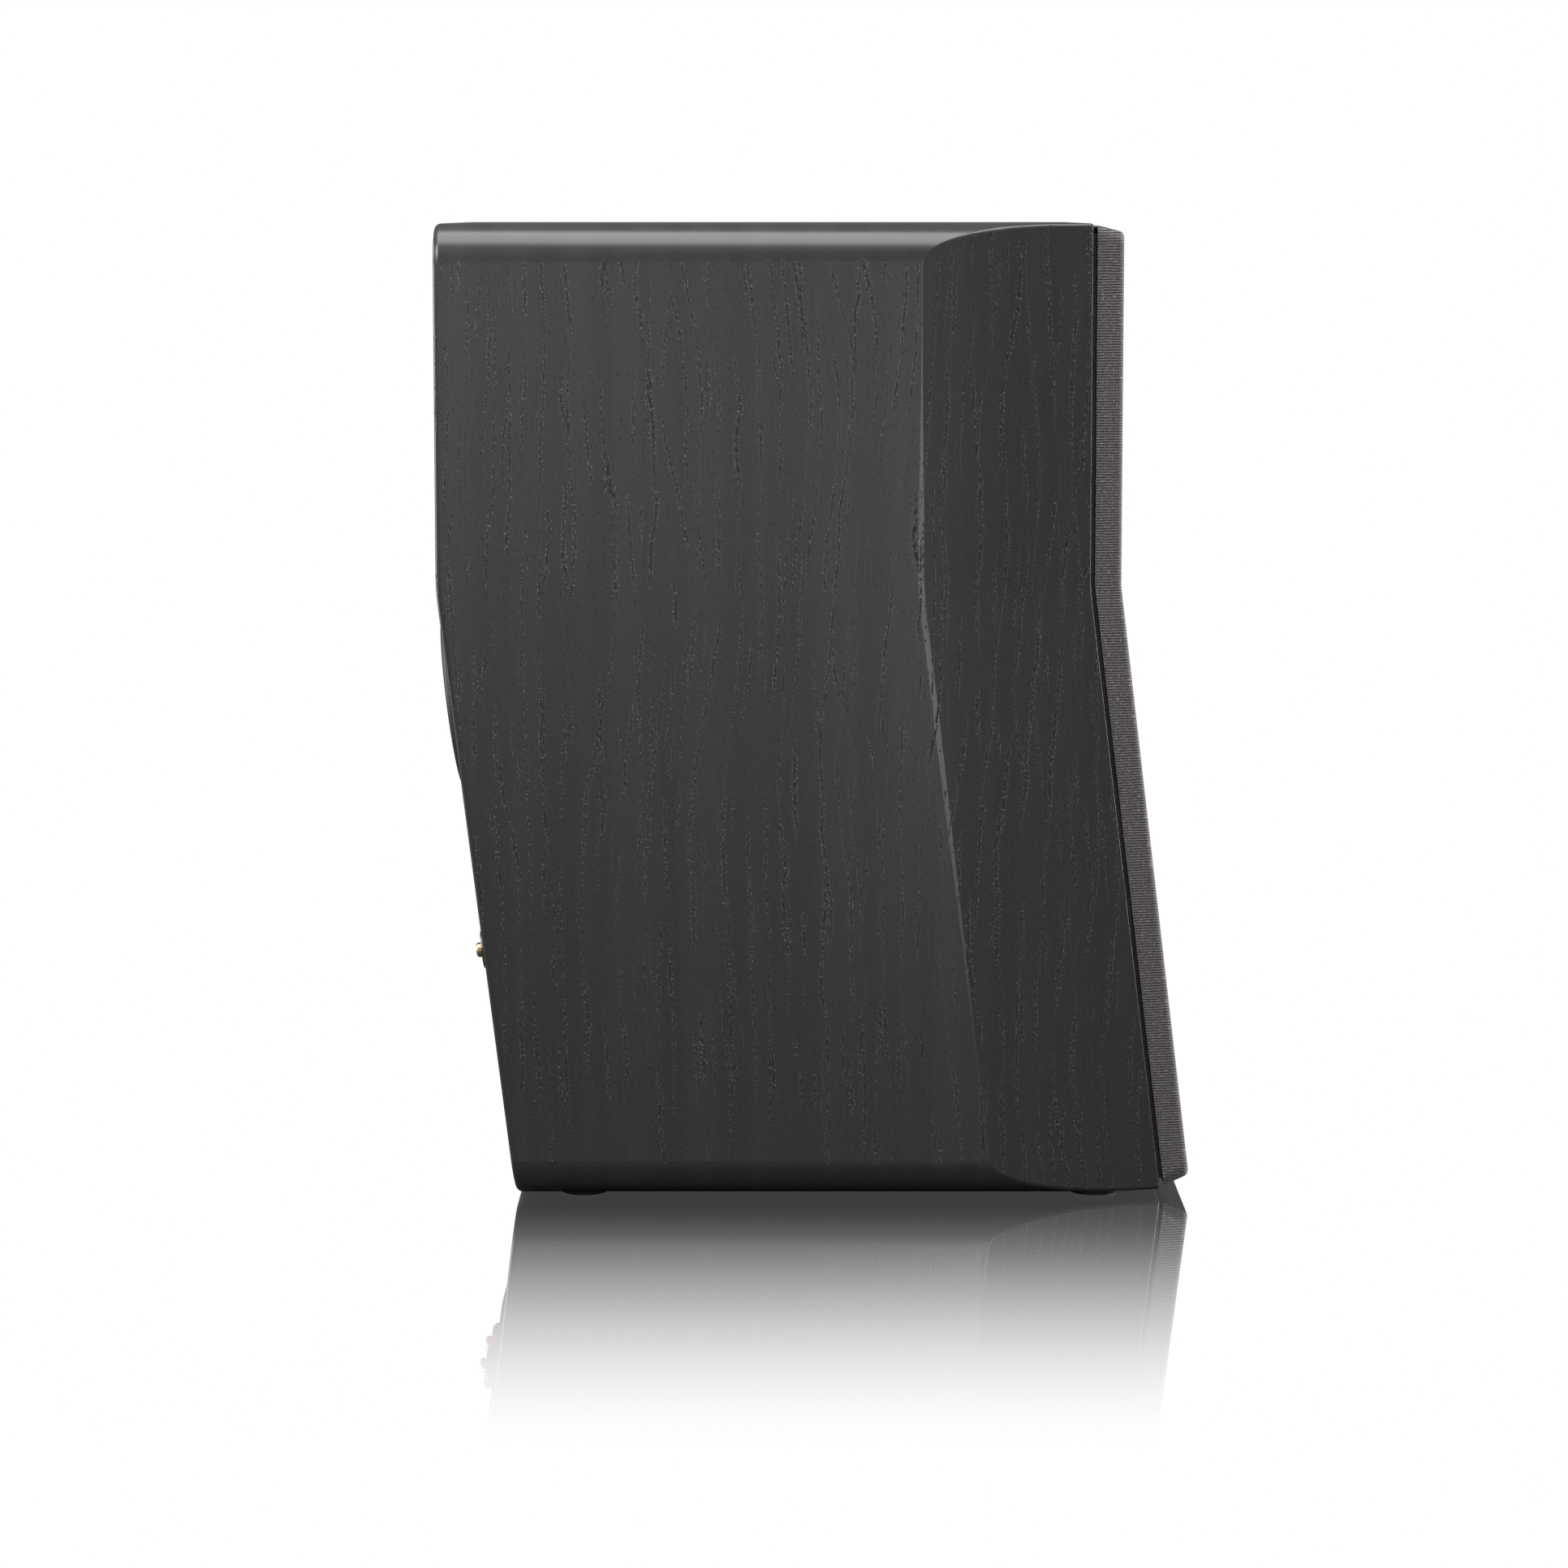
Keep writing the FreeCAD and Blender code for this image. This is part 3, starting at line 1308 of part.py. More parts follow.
def make_wires():
    """Hook-up wires from the posts to the board and from the board to the two drivers."""
    board = value(BOARD_TOP)
    tail = TERMINALS.multVec(Vector(0, 0, -value("post_tail")))
    leaving = TERMINALS.multVec(Vector(0, 0, -value("post_tail") - 9))
    spread = value("post_spread")
    rear_row = value("board_rear") - WIRE_MARGIN
    routes = []
    for x in (-spread, spread):
        start = [(x, tail.y, tail.z), (x, leaving.y, leaving.z), (x, leaving.y - 4, leaving.z - 18)]
        routes.append(start + [(x, rear_row, leaving.z - 37), (x, rear_row, board)])
    run_wires("input_wires", routes)
    basket = WOOFER.multVec(Vector(0, -value("basket_base_radius") - 1.2, -value("basket_base") + 2))
    front_row = value("board_front") + WIRE_MARGIN
    routes = []
    for x in (-WOOFER_WIRE_SPREAD, WOOFER_WIRE_SPREAD):
        rise = [(x, front_row, board), (x, front_row, board + 20), (x, front_row - 13, board + 33)]
        routes.append(rise + [(x, basket.y + 20, board + 29), (x, basket.y, basket.z)])
    run_wires("woofer_wires", routes)
    routes = []
    yoke = value("faceplate + faceplate_rib + tweeter_plate + tweeter_magnet + tweeter_back_plate")
    for x, side in zip(TWEETER_WIRE_X, (-1, 1)):
        rise = [(x, y, z) for y, z in TWEETER_WIRE_RISE]
        start = (x, TWEETER_WIRE_RISE[0][0], board)
        bends = [(x + inwards, y, z) for inwards, y, z in TWEETER_WIRE_BENDS]
        last = TWEETER.multVec(Vector(-TWEETER_LUG_RADIUS, side * WIRE_SPACING, -yoke))
        routes.append([start] + rise + bends + [(last.x, last.y + 24, last.z), tuple(last)])
    run_wires("tweeter_wires", routes)


# ---------------------------------------------------------------- build and write


def check_all():
    doc.recompute()
    failed = [thing.Label for thing in doc.Objects if {"Invalid", "Error"} & set(thing.State)]
    if failed:
        raise RuntimeError(f"failed objects: {failed}")
    for name, thing in parts.items():
        shape = Part.getShape(thing)
        if shape.isNull() or not shape.isValid() or not shape.Solids:
            raise RuntimeError(f"{name} has no valid solid")


def write_all():
    os.makedirs("parts", exist_ok=True)
    whole = FreeCAD.BoundBox()
    for name, thing in parts.items():
        thing.Label = name
        shape = Part.getShape(thing)
        whole.add(shape.BoundBox)
        shape.exportStep(f"parts/{name}.step")
    print(f"{len(parts)} nodes, box {whole}")


make_cabinet()
make_feet()
make_grille()
make_screws()
make_basket()
make_woofer_cone()
make_woofer_suspension()
make_woofer_motor()
make_woofer_gasket()
make_faceplate()
make_dome()
make_tweeter_motor()
make_port()
make_terminal_cup()
make_posts()
make_knob("red", 1)
make_knob("black", -1)
make_crossover()
make_wadding()
make_wires()
check_all()
write_all()
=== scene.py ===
import math
import random

import bpy
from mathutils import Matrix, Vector


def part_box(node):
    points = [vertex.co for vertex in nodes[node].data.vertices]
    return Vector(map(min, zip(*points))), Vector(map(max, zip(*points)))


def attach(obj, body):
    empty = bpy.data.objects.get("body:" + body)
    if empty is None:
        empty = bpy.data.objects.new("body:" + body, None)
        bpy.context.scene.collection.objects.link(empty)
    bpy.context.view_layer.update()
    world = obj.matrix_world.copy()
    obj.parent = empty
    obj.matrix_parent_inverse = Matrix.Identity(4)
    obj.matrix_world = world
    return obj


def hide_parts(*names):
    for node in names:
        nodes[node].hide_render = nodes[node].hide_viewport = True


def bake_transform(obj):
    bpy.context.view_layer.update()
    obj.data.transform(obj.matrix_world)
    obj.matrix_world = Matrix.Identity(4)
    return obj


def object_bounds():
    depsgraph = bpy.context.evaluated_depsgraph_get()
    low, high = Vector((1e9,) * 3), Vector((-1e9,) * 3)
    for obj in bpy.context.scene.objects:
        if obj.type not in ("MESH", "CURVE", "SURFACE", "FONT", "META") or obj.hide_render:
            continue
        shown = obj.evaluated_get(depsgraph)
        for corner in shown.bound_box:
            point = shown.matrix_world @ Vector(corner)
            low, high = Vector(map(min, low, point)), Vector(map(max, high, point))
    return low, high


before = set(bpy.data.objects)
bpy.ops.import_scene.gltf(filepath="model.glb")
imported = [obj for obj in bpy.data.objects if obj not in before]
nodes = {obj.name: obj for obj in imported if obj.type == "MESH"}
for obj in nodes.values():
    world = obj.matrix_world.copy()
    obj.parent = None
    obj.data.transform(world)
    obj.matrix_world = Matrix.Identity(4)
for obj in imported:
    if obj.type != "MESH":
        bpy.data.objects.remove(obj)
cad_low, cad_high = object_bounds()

# A two-way bookshelf speaker in black oak veneer. Metres. The grille faces -Y, the posts face +Y.

MM = 0.001
LEAN = math.radians(7)
BEND_HEIGHT = 0.2415  # the cabinet leans forward below this
FLOOR_REACH = 12.0
MIRROR_REACH = 0.37  # the floor mirrors nothing further from the speaker than this
MIRROR_SHARE = 0.955  # of the floor's look, where the speaker stands
ROOM_LIGHT = 0.14  # what the room gives the speaker, against 1 that the eye sees
ALONG_Y, ALONG_Z = 1, 2
CAMERA_LENS = 107.25
CAMERA_TILT = 0.12252  # radians below level
GRILLE_GAP = 1.7 * MM
GRILLE_DEPTH = 10.6 * MM
GRILLE_BEVEL = math.radians(14.3)
GRILLE_TUCK = 3.2 * MM  # how far the cloth reaches in behind the frame
VENEER_ROUGHNESS = 0.27
WADDING_GRID = 6 * MM
WADDING_EDGE = 8 * MM
LUMP_LENGTHS = (0.034, 0.021, 0.013)


# ---------------------------------------------------------------- shader helpers


class Material:
    """A material under construction: its tree and its Principled shader."""

    def __init__(self, name, colour=(0.5, 0.5, 0.5), roughness=0.5, **sockets):
        self.data = bpy.data.materials.new(name)
        self.data.use_nodes = True
        self.tree = self.data.node_tree
        self.shader = self.tree.nodes["Principled BSDF"]
        self.place = None
        self.set("Base Color", (*colour, 1))
        self.set("Roughness", roughness)
        for socket, number in sockets.items():
            self.set(socket.replace("_", " "), number)

    def set(self, socket, number):
        self.shader.inputs[socket].default_value = number

    def node(self, kind, **settings):
        made = self.tree.nodes.new(kind)
        for name, setting in settings.items():
            setattr(made, name, setting)
        return made

    def feed(self, node, inputs):
        """Gives a node its inputs: a socket is linked, a number or colour is set."""
        for key, source in inputs.items():
            target = node.inputs[key]
            if isinstance(source, bpy.types.NodeSocket):
                self.tree.links.new(source, target)
            else:
                target.default_value = source
        return node

    def link(self, source, socket):
        self.tree.links.new(source, self.shader.inputs[socket])

    def math(self, operation, *values, clamp=False):
        made = self.node("ShaderNodeMath", operation=operation, use_clamp=clamp)
        self.feed(made, dict(enumerate(values)))
        return made.outputs[0]

    def position(self):
        """The point on the object as x, y and z sockets."""
        if self.place is None:
            coordinates = self.node("ShaderNodeTexCoord")
            self.point = coordinates.outputs["Object"]
            self.place = self.split(self.point)
            self.facing = self.split(coordinates.outputs["Normal"])
        return self.place

    def split(self, vector):
        parted = self.feed(self.node("ShaderNodeSeparateXYZ"), {0: vector})
        return [parted.outputs[axis] for axis in range(3)]

    def join(self, x, y, z=0.0):
        return self.feed(self.node("ShaderNodeCombineXYZ"), {0: x, 1: y, 2: z}).outputs[0]

    def noise(self, vector, scale, detail=2.0, roughness=0.5):
        made = self.node("ShaderNodeTexNoise")
        self.feed(made, {"Vector": vector, "Scale": scale, "Detail": detail, "Roughness": roughness})
        return made.outputs["Fac"]

    def ramp(self, factor, low, high, start=0.0, end=1.0, smooth=True):
        """The factor's stretch from low to high as start to end."""
        made = self.node("ShaderNodeMapRange")
        if smooth:
            made.interpolation_type = "SMOOTHSTEP"
        self.feed(made, {"Value": factor, "From Min": low, "From Max": high, "To Min": start, "To Max": end})
        return made.outputs["Result"]

    def mix(self, factor, first, second, blend="MIX"):
        made = self.node("ShaderNodeMix", data_type="RGBA", blend_type=blend)
        sockets = {"Factor": 0, "A": 6, "B": 7}
        for key, source in (("Factor", factor), ("A", first), ("B", second)):
            if isinstance(source, tuple) and len(source) == 3:
                source = (*source, 1)
            self.feed(made, {sockets[key]: source})
        return made.outputs[2]

    def bump(self, height, distance, strength=1.0):
        made = self.node("ShaderNodeBump")
        self.feed(made, {"Height": height, "Distance": distance, "Strength": strength})
        self.link(made.outputs["Normal"], "Normal")


def paint(material, *names):
    """Gives CAD nodes a material."""
    for name in names:
        slots = nodes[name].data.materials
        slots.clear()
        slots.append(material.data)


# ---------------------------------------------------------------- wood


def veneer(name, base, dark, light, pore_strength):
    """Open-pore oak, stained black: strings of short pores that wander and meet along the grain.

    The grain runs up the sides, the facets and the back, and across the top and bottom. The rounded
    edges are filled and smooth.
    """
    made = Material(name, base, VENEER_ROUGHNESS)
    x, y, z = made.position()
    facing = [made.math("ABSOLUTE", socket) for socket in made.facing]
    on_back = made.math("GREATER_THAN", facing[ALONG_Y], 0.6)
    on_top = made.math("GREATER_THAN", facing[ALONG_Z], 0.8)
    across = made.math("ADD", made.math("MULTIPLY", y, made.math("SUBTRACT", 1.0, on_back)),
                       made.math("MULTIPLY", x, on_back))
    along = made.math("ADD", made.math("MULTIPLY", z, made.math("SUBTRACT", 1.0, on_top)),
                      made.math("MULTIPLY", x, on_top))
    rounding = made.ramp(facing[ALONG_Z], 0.02, 0.16)
    flat_top = made.ramp(facing[ALONG_Z], 0.985, 0.998)
    grained = made.math("MAXIMUM", made.math("SUBTRACT", 1.0, rounding), flat_top)

    def stretched(width, length, seed):
        """Coordinates in which a mark of this width and length, in metres, is one unit."""
        sideways = made.math("MULTIPLY", across, 1 / width)
        return made.join(sideways, made.math("MULTIPLY", along, 1 / length), seed)

    broad = made.noise(stretched(0.07, 0.2, 1.0), 1.0, 1.0)
    second = made.noise(stretched(0.05, 0.14, 31.0), 1.0, 1.0)
    sway = made.noise(stretched(0.012, 0.022, 2.0), 1.0, 2.0)
    ripple = made.math("MULTIPLY", sway, 0.004)

    def strings(spacing, warp, strength, thickness, seed):
        """Thin lines along the grain, unevenly spaced, that wander with a slow warp and a quick ripple."""
        place = made.math("ADD", made.math("ADD", across, ripple), made.math("MULTIPLY", warp, strength))
        cell = made.node("ShaderNodeTexVoronoi", voronoi_dimensions="1D", feature="DISTANCE_TO_EDGE")
        counted = made.math("ADD", made.math("MULTIPLY", place, 1 / spacing), seed)
        made.feed(cell, {"W": counted, "Scale": 1.0})
        width = thickness / spacing
        return made.ramp(cell.outputs["Distance"], 0.35 * width, width, 1.0, 0.0)

    dashes = made.ramp(made.noise(stretched(0.0016, 0.0022, 5.0), 1.0, 2.0), 0.45, 0.52)
    fade = made.ramp(made.noise(stretched(0.014, 0.05, 6.0), 1.0, 1.0), 0.36, 0.6)
    other_fade = made.ramp(made.noise(stretched(0.014, 0.04, 16.0), 1.0, 1.0), 0.45, 0.6)
    main_lines = made.math("MULTIPLY", strings(0.009, broad, 0.04, 0.00045, 3.0), fade)
    side_lines = made.math("MULTIPLY", strings(0.007, second, 0.032, 0.0004, 8.0), other_fade)
    long_pores = made.math("MULTIPLY", made.math("MAXIMUM", main_lines, side_lines), dashes)
    short_dashes = made.ramp(made.noise(stretched(0.0012, 0.0018, 8.0), 1.0, 1.0), 0.58, 0.64)
    fine_pores = made.math("MULTIPLY", strings(0.0022, broad, 0.04, 0.00028, 5.0), short_dashes)
    pores = made.math("MAXIMUM", long_pores, made.math("MULTIPLY", fine_pores, 0.75))
    pores = made.math("MULTIPLY", pores, grained)

    # Painted highlights: light dots along the pore lines, painted into the colour as glints off the pore
    # edges.
    beside = made.math("MAXIMUM", made.math("MULTIPLY", strings(0.009, broad, 0.04, 0.0015, 3.0), fade),
                       made.math("MULTIPLY", strings(0.007, second, 0.032, 0.0013, 8.0), other_fade))
    glint_dot_noise = made.ramp(made.noise(stretched(0.0006, 0.001, 9.0), 1.0, 1.0), 0.58, 0.66)
    painted_pore_glints = made.math("MULTIPLY", made.math("MULTIPLY", glint_dot_noise, grained),
                       made.ramp(beside, 0.0, 1.0, 0.07, 0.9))
    fibres = made.math("MULTIPLY", made.noise(stretched(0.0006, 0.03, 13.0), 1.0, 3.0), grained)
    bands = made.ramp(made.noise(stretched(0.012, 0.4, 21.0), 1.0, 1.0), 0.35, 0.65)

    colour = made.mix(made.ramp(fibres, 0.3, 0.7, 0.0, 0.5), base, light)
    colour = made.mix(made.math("MULTIPLY", bands, 0.15), colour, dark)
    # Painted highlight: the glints beside the pores, at 3.2 times the light wood colour.
    colour = made.mix(painted_pore_glints, colour, tuple(3.2 * part for part in light))
    colour = made.mix(made.math("MULTIPLY", pores, pore_strength), colour, dark)
    made.link(colour, "Base Color")
    made.link(made.ramp(pores, 0.0, 1.0, VENEER_ROUGHNESS, 0.6, smooth=False), "Roughness")
    height = made.math("SUBTRACT", made.math("MULTIPLY", fibres, 0.1), pores)
    made.bump(height, 0.00012, 0.5)
    return made


def raw_board(name, colour):
    """Cut MDF: pressed fibres without a direction."""
    made = Material(name, colour, 0.8)
    made.position()
    fleck = made.noise(made.point, 900.0, 3.0)
    cloud = made.noise(made.point, 30.0)
    tone = made.mix(fleck, tuple(0.8 * part for part in colour), tuple(1.15 * part for part in colour))
    stained = made.mix(made.math("MULTIPLY", cloud, 0.3), tone, tuple(0.7 * part for part in colour))
    made.link(stained, "Base Color")
    made.bump(fleck, 0.00015, 0.4)
    return made


# ---------------------------------------------------------------- plastics, rubber and metal


def moulded(name, colour, roughness, grain=0.00004, scale=1800.0, **sockets):
    """Moulded plastic, lacquer or powder coat: a fine texture and slightly uneven gloss."""
    made = Material(name, colour, roughness, **sockets)
    made.position()
    fine = made.noise(made.point, scale, 3.0)
    cloud = made.noise(made.point, 25.0)
    made.link(made.ramp(cloud, 0.3, 0.7, max(roughness - 0.05, 0.03), roughness + 0.06), "Roughness")
    worn = made.mix(cloud, tuple(0.88 * part for part in colour), tuple(1.12 * part for part in colour))
    made.link(worn, "Base Color")
    made.bump(fine, grain, 0.5)
    return made


def turned_metal(name, colour, roughness, axis_height, scale=3000.0):
    """Metal with fine rings round an axis along Y at a height."""
    made = Material(name, colour, roughness, Metallic=1.0)
    x, _, z = made.position()
    height = made.math("SUBTRACT", z, axis_height)
    squares = made.math("ADD", made.math("MULTIPLY", x, x), made.math("MULTIPLY", height, height))
    radius = made.math("SQRT", squares)
    rings = made.noise(made.join(made.math("MULTIPLY", radius, scale), 0.0, 0.0), 1.0, 3.0)
    cloud = made.noise(made.point, 40.0)
    made.link(made.ramp(cloud, 0.3, 0.7, roughness - 0.06, roughness + 0.08), "Roughness")
    made.bump(rings, 0.00003, 0.5)
    return made


def plain_metal(name, colour, roughness):
    """Plated or drawn metal with faint spots."""
    made = Material(name, colour, roughness, Metallic=1.0)
    made.position()
    spots = made.noise(made.point, 400.0, 3.0)
    made.link(made.ramp(spots, 0.35, 0.7, roughness - 0.05, roughness + 0.12), "Roughness")
    made.link(made.mix(spots, tuple(0.85 * part for part in colour), colour), "Base Color")
    made.bump(spots, 0.00002, 0.4)
    return made


def wound_wire(name, colour, pitch):
    """Enamelled wire in turns, seen as fine ridges."""
    made = Material(name, colour, 0.3, Metallic=1.0)
    _, y, z = made.position()
    ridges = made.math("SINE", made.math("MULTIPLY", made.math("ADD", z, y), 2 * math.pi / pitch))
    shaded = made.mix(made.ramp(ridges, -1.0, 1.0), tuple(0.45 * part for part in colour), colour)
    made.link(shaded, "Base Color")
    made.bump(ridges, pitch / 4, 0.6)
    return made


# ---------------------------------------------------------------- cloth


def speaker_cloth(name):
    """Charcoal acoustic cloth: rows of plump dark yarn with lighter flecks."""
    made = Material(name, (0.09, 0.085, 0.095), 0.85, Sheen_Weight=0.35, Sheen_Roughness=0.5)
    x, y, z = made.position()
    pitch = 0.00105
    cross = made.math("ADD", x, y)
    wander = made.noise(made.point, 120.0)
    row = made.math("ADD", z, made.math("MULTIPLY", wander, 0.0006))
    rows = made.math("SINE", made.math("MULTIPLY", row, 2 * math.pi / pitch))
    columns = made.math("SINE", made.math("MULTIPLY", cross, 2 * math.pi / (0.8 * pitch)))
    weave = made.math("MULTIPLY", rows, columns)
    fleck = made.noise(made.join(made.math("MULTIPLY", cross, 0.7), 0.0, z), 1300.0, 2.0)
    broad = made.noise(made.point, 60.0)
    height = made.math("ADD", made.math("MULTIPLY", rows, 0.6), made.math("MULTIPLY", weave, 0.6))
    # Painted shade: the colour runs from near black in the hollows between the yarns to charcoal on their
    # tops; the flecks added here are the yarn's own lighter fibres.
    weave_shade_and_flecks = made.ramp(made.math("ADD", height, made.math("MULTIPLY", fleck, 1.6)), 0.1, 1.6)
    colour = made.mix(weave_shade_and_flecks, (0.025, 0.024, 0.027), (0.26, 0.222, 0.243))
    colour = made.mix(made.ramp(fleck, 0.6, 0.75), colour, (0.42, 0.405, 0.43))
    colour = made.mix(made.math("MULTIPLY", broad, 0.25), colour, (0.05, 0.047, 0.055))
    made.link(colour, "Base Color")
    made.bump(height, 0.0003, 0.9)
    return made


def fibre(name, colour, scale, depth, weave=0.0):
    """Soft fibre: felt, wadding or silk."""
    made = Material(name, colour, 0.9, Sheen_Weight=0.3)
    x, _, z = made.position()
    strands = made.noise(made.point, scale, 6.0, 0.7)
    tone = made.mix(strands, tuple(0.6 * part for part in colour), colour)
    height = strands
    if weave:
        threads = made.math("MULTIPLY", made.math("SINE", made.math("MULTIPLY", x, weave)),
                            made.math("SINE", made.math("MULTIPLY", z, weave)))
        height = made.math("ADD", strands, threads)
        # Where woven, the colour is painted darker in the hollows between the threads, as shade.
        tone = made.mix(made.ramp(threads, -1.0, 1.0), tuple(0.5 * part for part in colour), colour)
    made.link(tone, "Base Color")
    made.bump(height, depth, 0.7)
    return made


# ---------------------------------------------------------------- materials on the CAD nodes


def finish_cabinet():
    oak = veneer("black_oak", (0.042, 0.041, 0.042), (0.006, 0.006, 0.006), (0.052, 0.051, 0.052), 0.9)
    paint(oak, "side_panel_left", "side_panel_right", "top_panel", "bottom_panel", "back_panel")
    lacquer = moulded("baffle_lacquer", (0.022, 0.021, 0.022), 0.36, 0.00003, 1400.0)
    paint(lacquer, "front_baffle")
    paint(raw_board("bare_board", (0.32, 0.2, 0.11)), "window_brace")
    rubber = moulded("foot_rubber", (0.015, 0.015, 0.015), 0.75, 0.0001, 900.0)
    paint(rubber, "rubber_feet")


def finish_drivers():
    height = (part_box("woofer_yoke")[0].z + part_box("woofer_yoke")[1].z) / 2
    coat = moulded("powder_coat", (0.018, 0.018, 0.019), 0.5, 0.00012, 1200.0)
    paint(coat, "woofer_basket")
    cone = turned_metal("cone_sheet", (0.02, 0.02, 0.021), 0.42, height, 900.0)
    cone.set("Metallic", 0.0)
    paint(cone, "woofer_cone")
    paint(moulded("cap_sheet", (0.016, 0.016, 0.017), 0.35), "woofer_dust_cap")
    steel = turned_metal("motor_steel", (0.55, 0.55, 0.56), 0.32, height)
    paint(steel, "woofer_top_plate", "woofer_yoke", "tweeter_top_plate", "tweeter_yoke")
    paint(moulded("ferrite", (0.03, 0.03, 0.032), 0.55, 0.00006, 700.0), "woofer_magnet", "tweeter_magnet")
    paint(plain_metal("foil", (0.75, 0.75, 0.77), 0.25), "woofer_coil_former")
    paint(wound_wire("copper", (0.72, 0.32, 0.16), 0.0004), "woofer_voice_coil", "tweeter_voice_coil",
          "crossover_inductors")
    foam = moulded("foam", (0.02, 0.02, 0.02), 0.9, 0.0003, 1100.0)
    paint(foam, "woofer_gasket", "tweeter_gasket")
    screw = plain_metal("black_oxide", (0.05, 0.05, 0.053), 0.35)
    paint(screw, "woofer_screws", "tweeter_screws", "terminal_screws", "crossover_screws")
    paint(moulded("faceplate", (0.018, 0.018, 0.018), 0.42, 0.00006, 1500.0), "tweeter_faceplate")
    paint(fibre("silk", (0.03, 0.03, 0.032), 3000.0, 0.00003, 9000.0), "tweeter_dome")
    paint(moulded("chamber", (0.02, 0.02, 0.02), 0.5), "tweeter_rear_chamber")
    nickel = plain_metal("nickel", (0.72, 0.71, 0.68), 0.2)
    paint(nickel, "baffle_magnets", "grille_magnets")


def finish_back():
    plastic = moulded("port_plastic", (0.018, 0.018, 0.019), 0.45, 0.0001, 1300.0)
    paint(plastic, "port_flange", "port_tube", "port_inner_flare", "terminal_cup")
    gold = plain_metal("gold_flash", (0.83, 0.6, 0.25), 0.22)
    paint(gold, "post_studs", "post_nuts", "clamp_washer_red", "clamp_washer_black")
    red = moulded("red_cap", (0.42, 0.012, 0.014), 0.22, 0.00001, Coat_Weight=0.4)
    black = moulded("black_cap", (0.012, 0.012, 0.012), 0.22, 0.00001, Coat_Weight=0.4)
    paint(red, "knob_red")
    paint(black, "knob_black")


def finish_inside():
    board = moulded("circuit_board", (0.02, 0.11, 0.035), 0.35)
    paint(board, "crossover_board")
    paint(moulded("film_wrap", (0.5, 0.36, 0.04), 0.25), "crossover_capacitors")
    paint(moulded("cement", (0.7, 0.67, 0.58), 0.85, 0.0001, 900.0), "crossover_resistors")
    paint(moulded("nylon", (0.6, 0.58, 0.52), 0.4), "crossover_standoffs")
    paint(moulded("wire_sleeve", (0.02, 0.02, 0.022), 0.45), "input_wires", "woofer_wires", "tweeter_wires")
    paint(moulded("grille_plastic", (0.012, 0.012, 0.013), 0.55, 0.0001, 1300.0), "grille_frame")


# ---------------------------------------------------------------- meshes


def new_mesh(name, points, faces, material, smooth=True):
    mesh = bpy.data.meshes.new(name)
    mesh.from_pydata([tuple(point) for point in points], [], faces)
    mesh.validate()
    made = bpy.data.objects.new(name, mesh)
    bpy.context.scene.collection.objects.link(made)
    mesh.materials.append(material.data)
    if smooth:
        mesh.polygons.foreach_set("use_smooth", [True] * len(mesh.polygons))
    return made


def strip_faces(rows, columns, closed=False):
    """Quads of a grid of points stored row by row; closed joins the last column to the first."""
    faces = []
    for row in range(rows - 1):
        for column in range(columns if closed else columns - 1):
            after = (column + 1) % columns
            start, next_start = row * columns, (row + 1) * columns
            faces.append((start + column, start + after, next_start + after, next_start + column))
    return faces


# ---------------------------------------------------------------- grille cloth


def forward(z):
    """How far forward the cabinet has leaned at a height."""
    return max(BEND_HEIGHT - z, 0.0) * math.tan(LEAN)


def grille_cloth(material):
    """The cloth pulled over the frame's face and bevelled sides, and tucked behind its edges."""
    low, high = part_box("grille_cloth")
    bevel = math.tan(GRILLE_BEVEL)
    bevel_low = math.sin(LEAN) + bevel * math.cos(LEAN)
    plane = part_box("tweeter_faceplate")[0].y - GRILLE_GAP
    edge = 2.0 * MM
    half, top, bottom = high.x, high.z, low.z
    # The skin's course from behind the frame over the edge to the face: (inset, height above the back).
    course = [(GRILLE_TUCK, 0.0), (0.6 * MM, 0.0), (0.0, 0.25 * MM), (0.0, 0.9 * MM)]
    course += [(0.0, GRILLE_DEPTH * step / 8) for step in range(2, 7)]
    edge_steps = 6
    for step in range(edge_steps + 1):
        turn = math.radians(90 * step / edge_steps)
        course.append((edge * (1 - math.cos(turn)), GRILLE_DEPTH - edge + edge * math.sin(turn)))
    across, up = 40, 84
    points = []

    def loop_point(step, inset, height):
        """A point of the closed loop round the grille."""
        side = bevel * height + inset
        x_reach = half - side
        z_top = top - side
        z_low = bottom + bevel_low * height + inset
        if step < across:
            x, z = -x_reach + 2 * x_reach * step / across, z_low
        elif step < across + up:
            x, z = x_reach, z_low + (z_top - z_low) * (step - across) / up
        elif step < 2 * across + up:
            x, z = x_reach - 2 * x_reach * (step - across - up) / across, z_top
        else:
            x, z = -x_reach, z_top - (z_top - z_low) * (step - 2 * across - up) / up
        return Vector((x, plane - height - forward(z), z))

    count = 2 * (across + up)
    for inset, height in course:
        points += [loop_point(index, inset, height) for index in range(count)]
    faces = strip_faces(len(course), count, closed=True)
    # The face itself, a grid inside the last loop.
    inset, height = course[-1]
    side = bevel * height + inset
    x_reach, z_top, z_low = half - side, top - side, bottom + bevel_low * height + inset
    base = (len(course) - 1) * count
    grid = {}
    for column in range(across + 1):
        for row in range(up + 1):
            if row == 0:
                grid[column, row] = base + column
            elif row == up:
                grid[column, row] = base + across + up + (across - column)
            elif column == across:
                grid[column, row] = base + across + row
            elif column == 0:
                grid[column, row] = base + 2 * across + up + (up - row)
            else:
                x = -x_reach + 2 * x_reach * column / across
                z = z_low + (z_top - z_low) * row / up
                grid[column, row] = len(points)
                points.append(Vector((x, plane - height - forward(z), z)))
    for column in range(across):
        for row in range(up):
            corners = ((column, row), (column + 1, row), (column + 1, row + 1), (column, row + 1))
            faces.append(tuple(grid[corner] for corner in corners))
    cloth = new_mesh("grille_cloth_skin", points, faces, material)
    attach(cloth, "grille")
    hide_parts("grille_cloth")
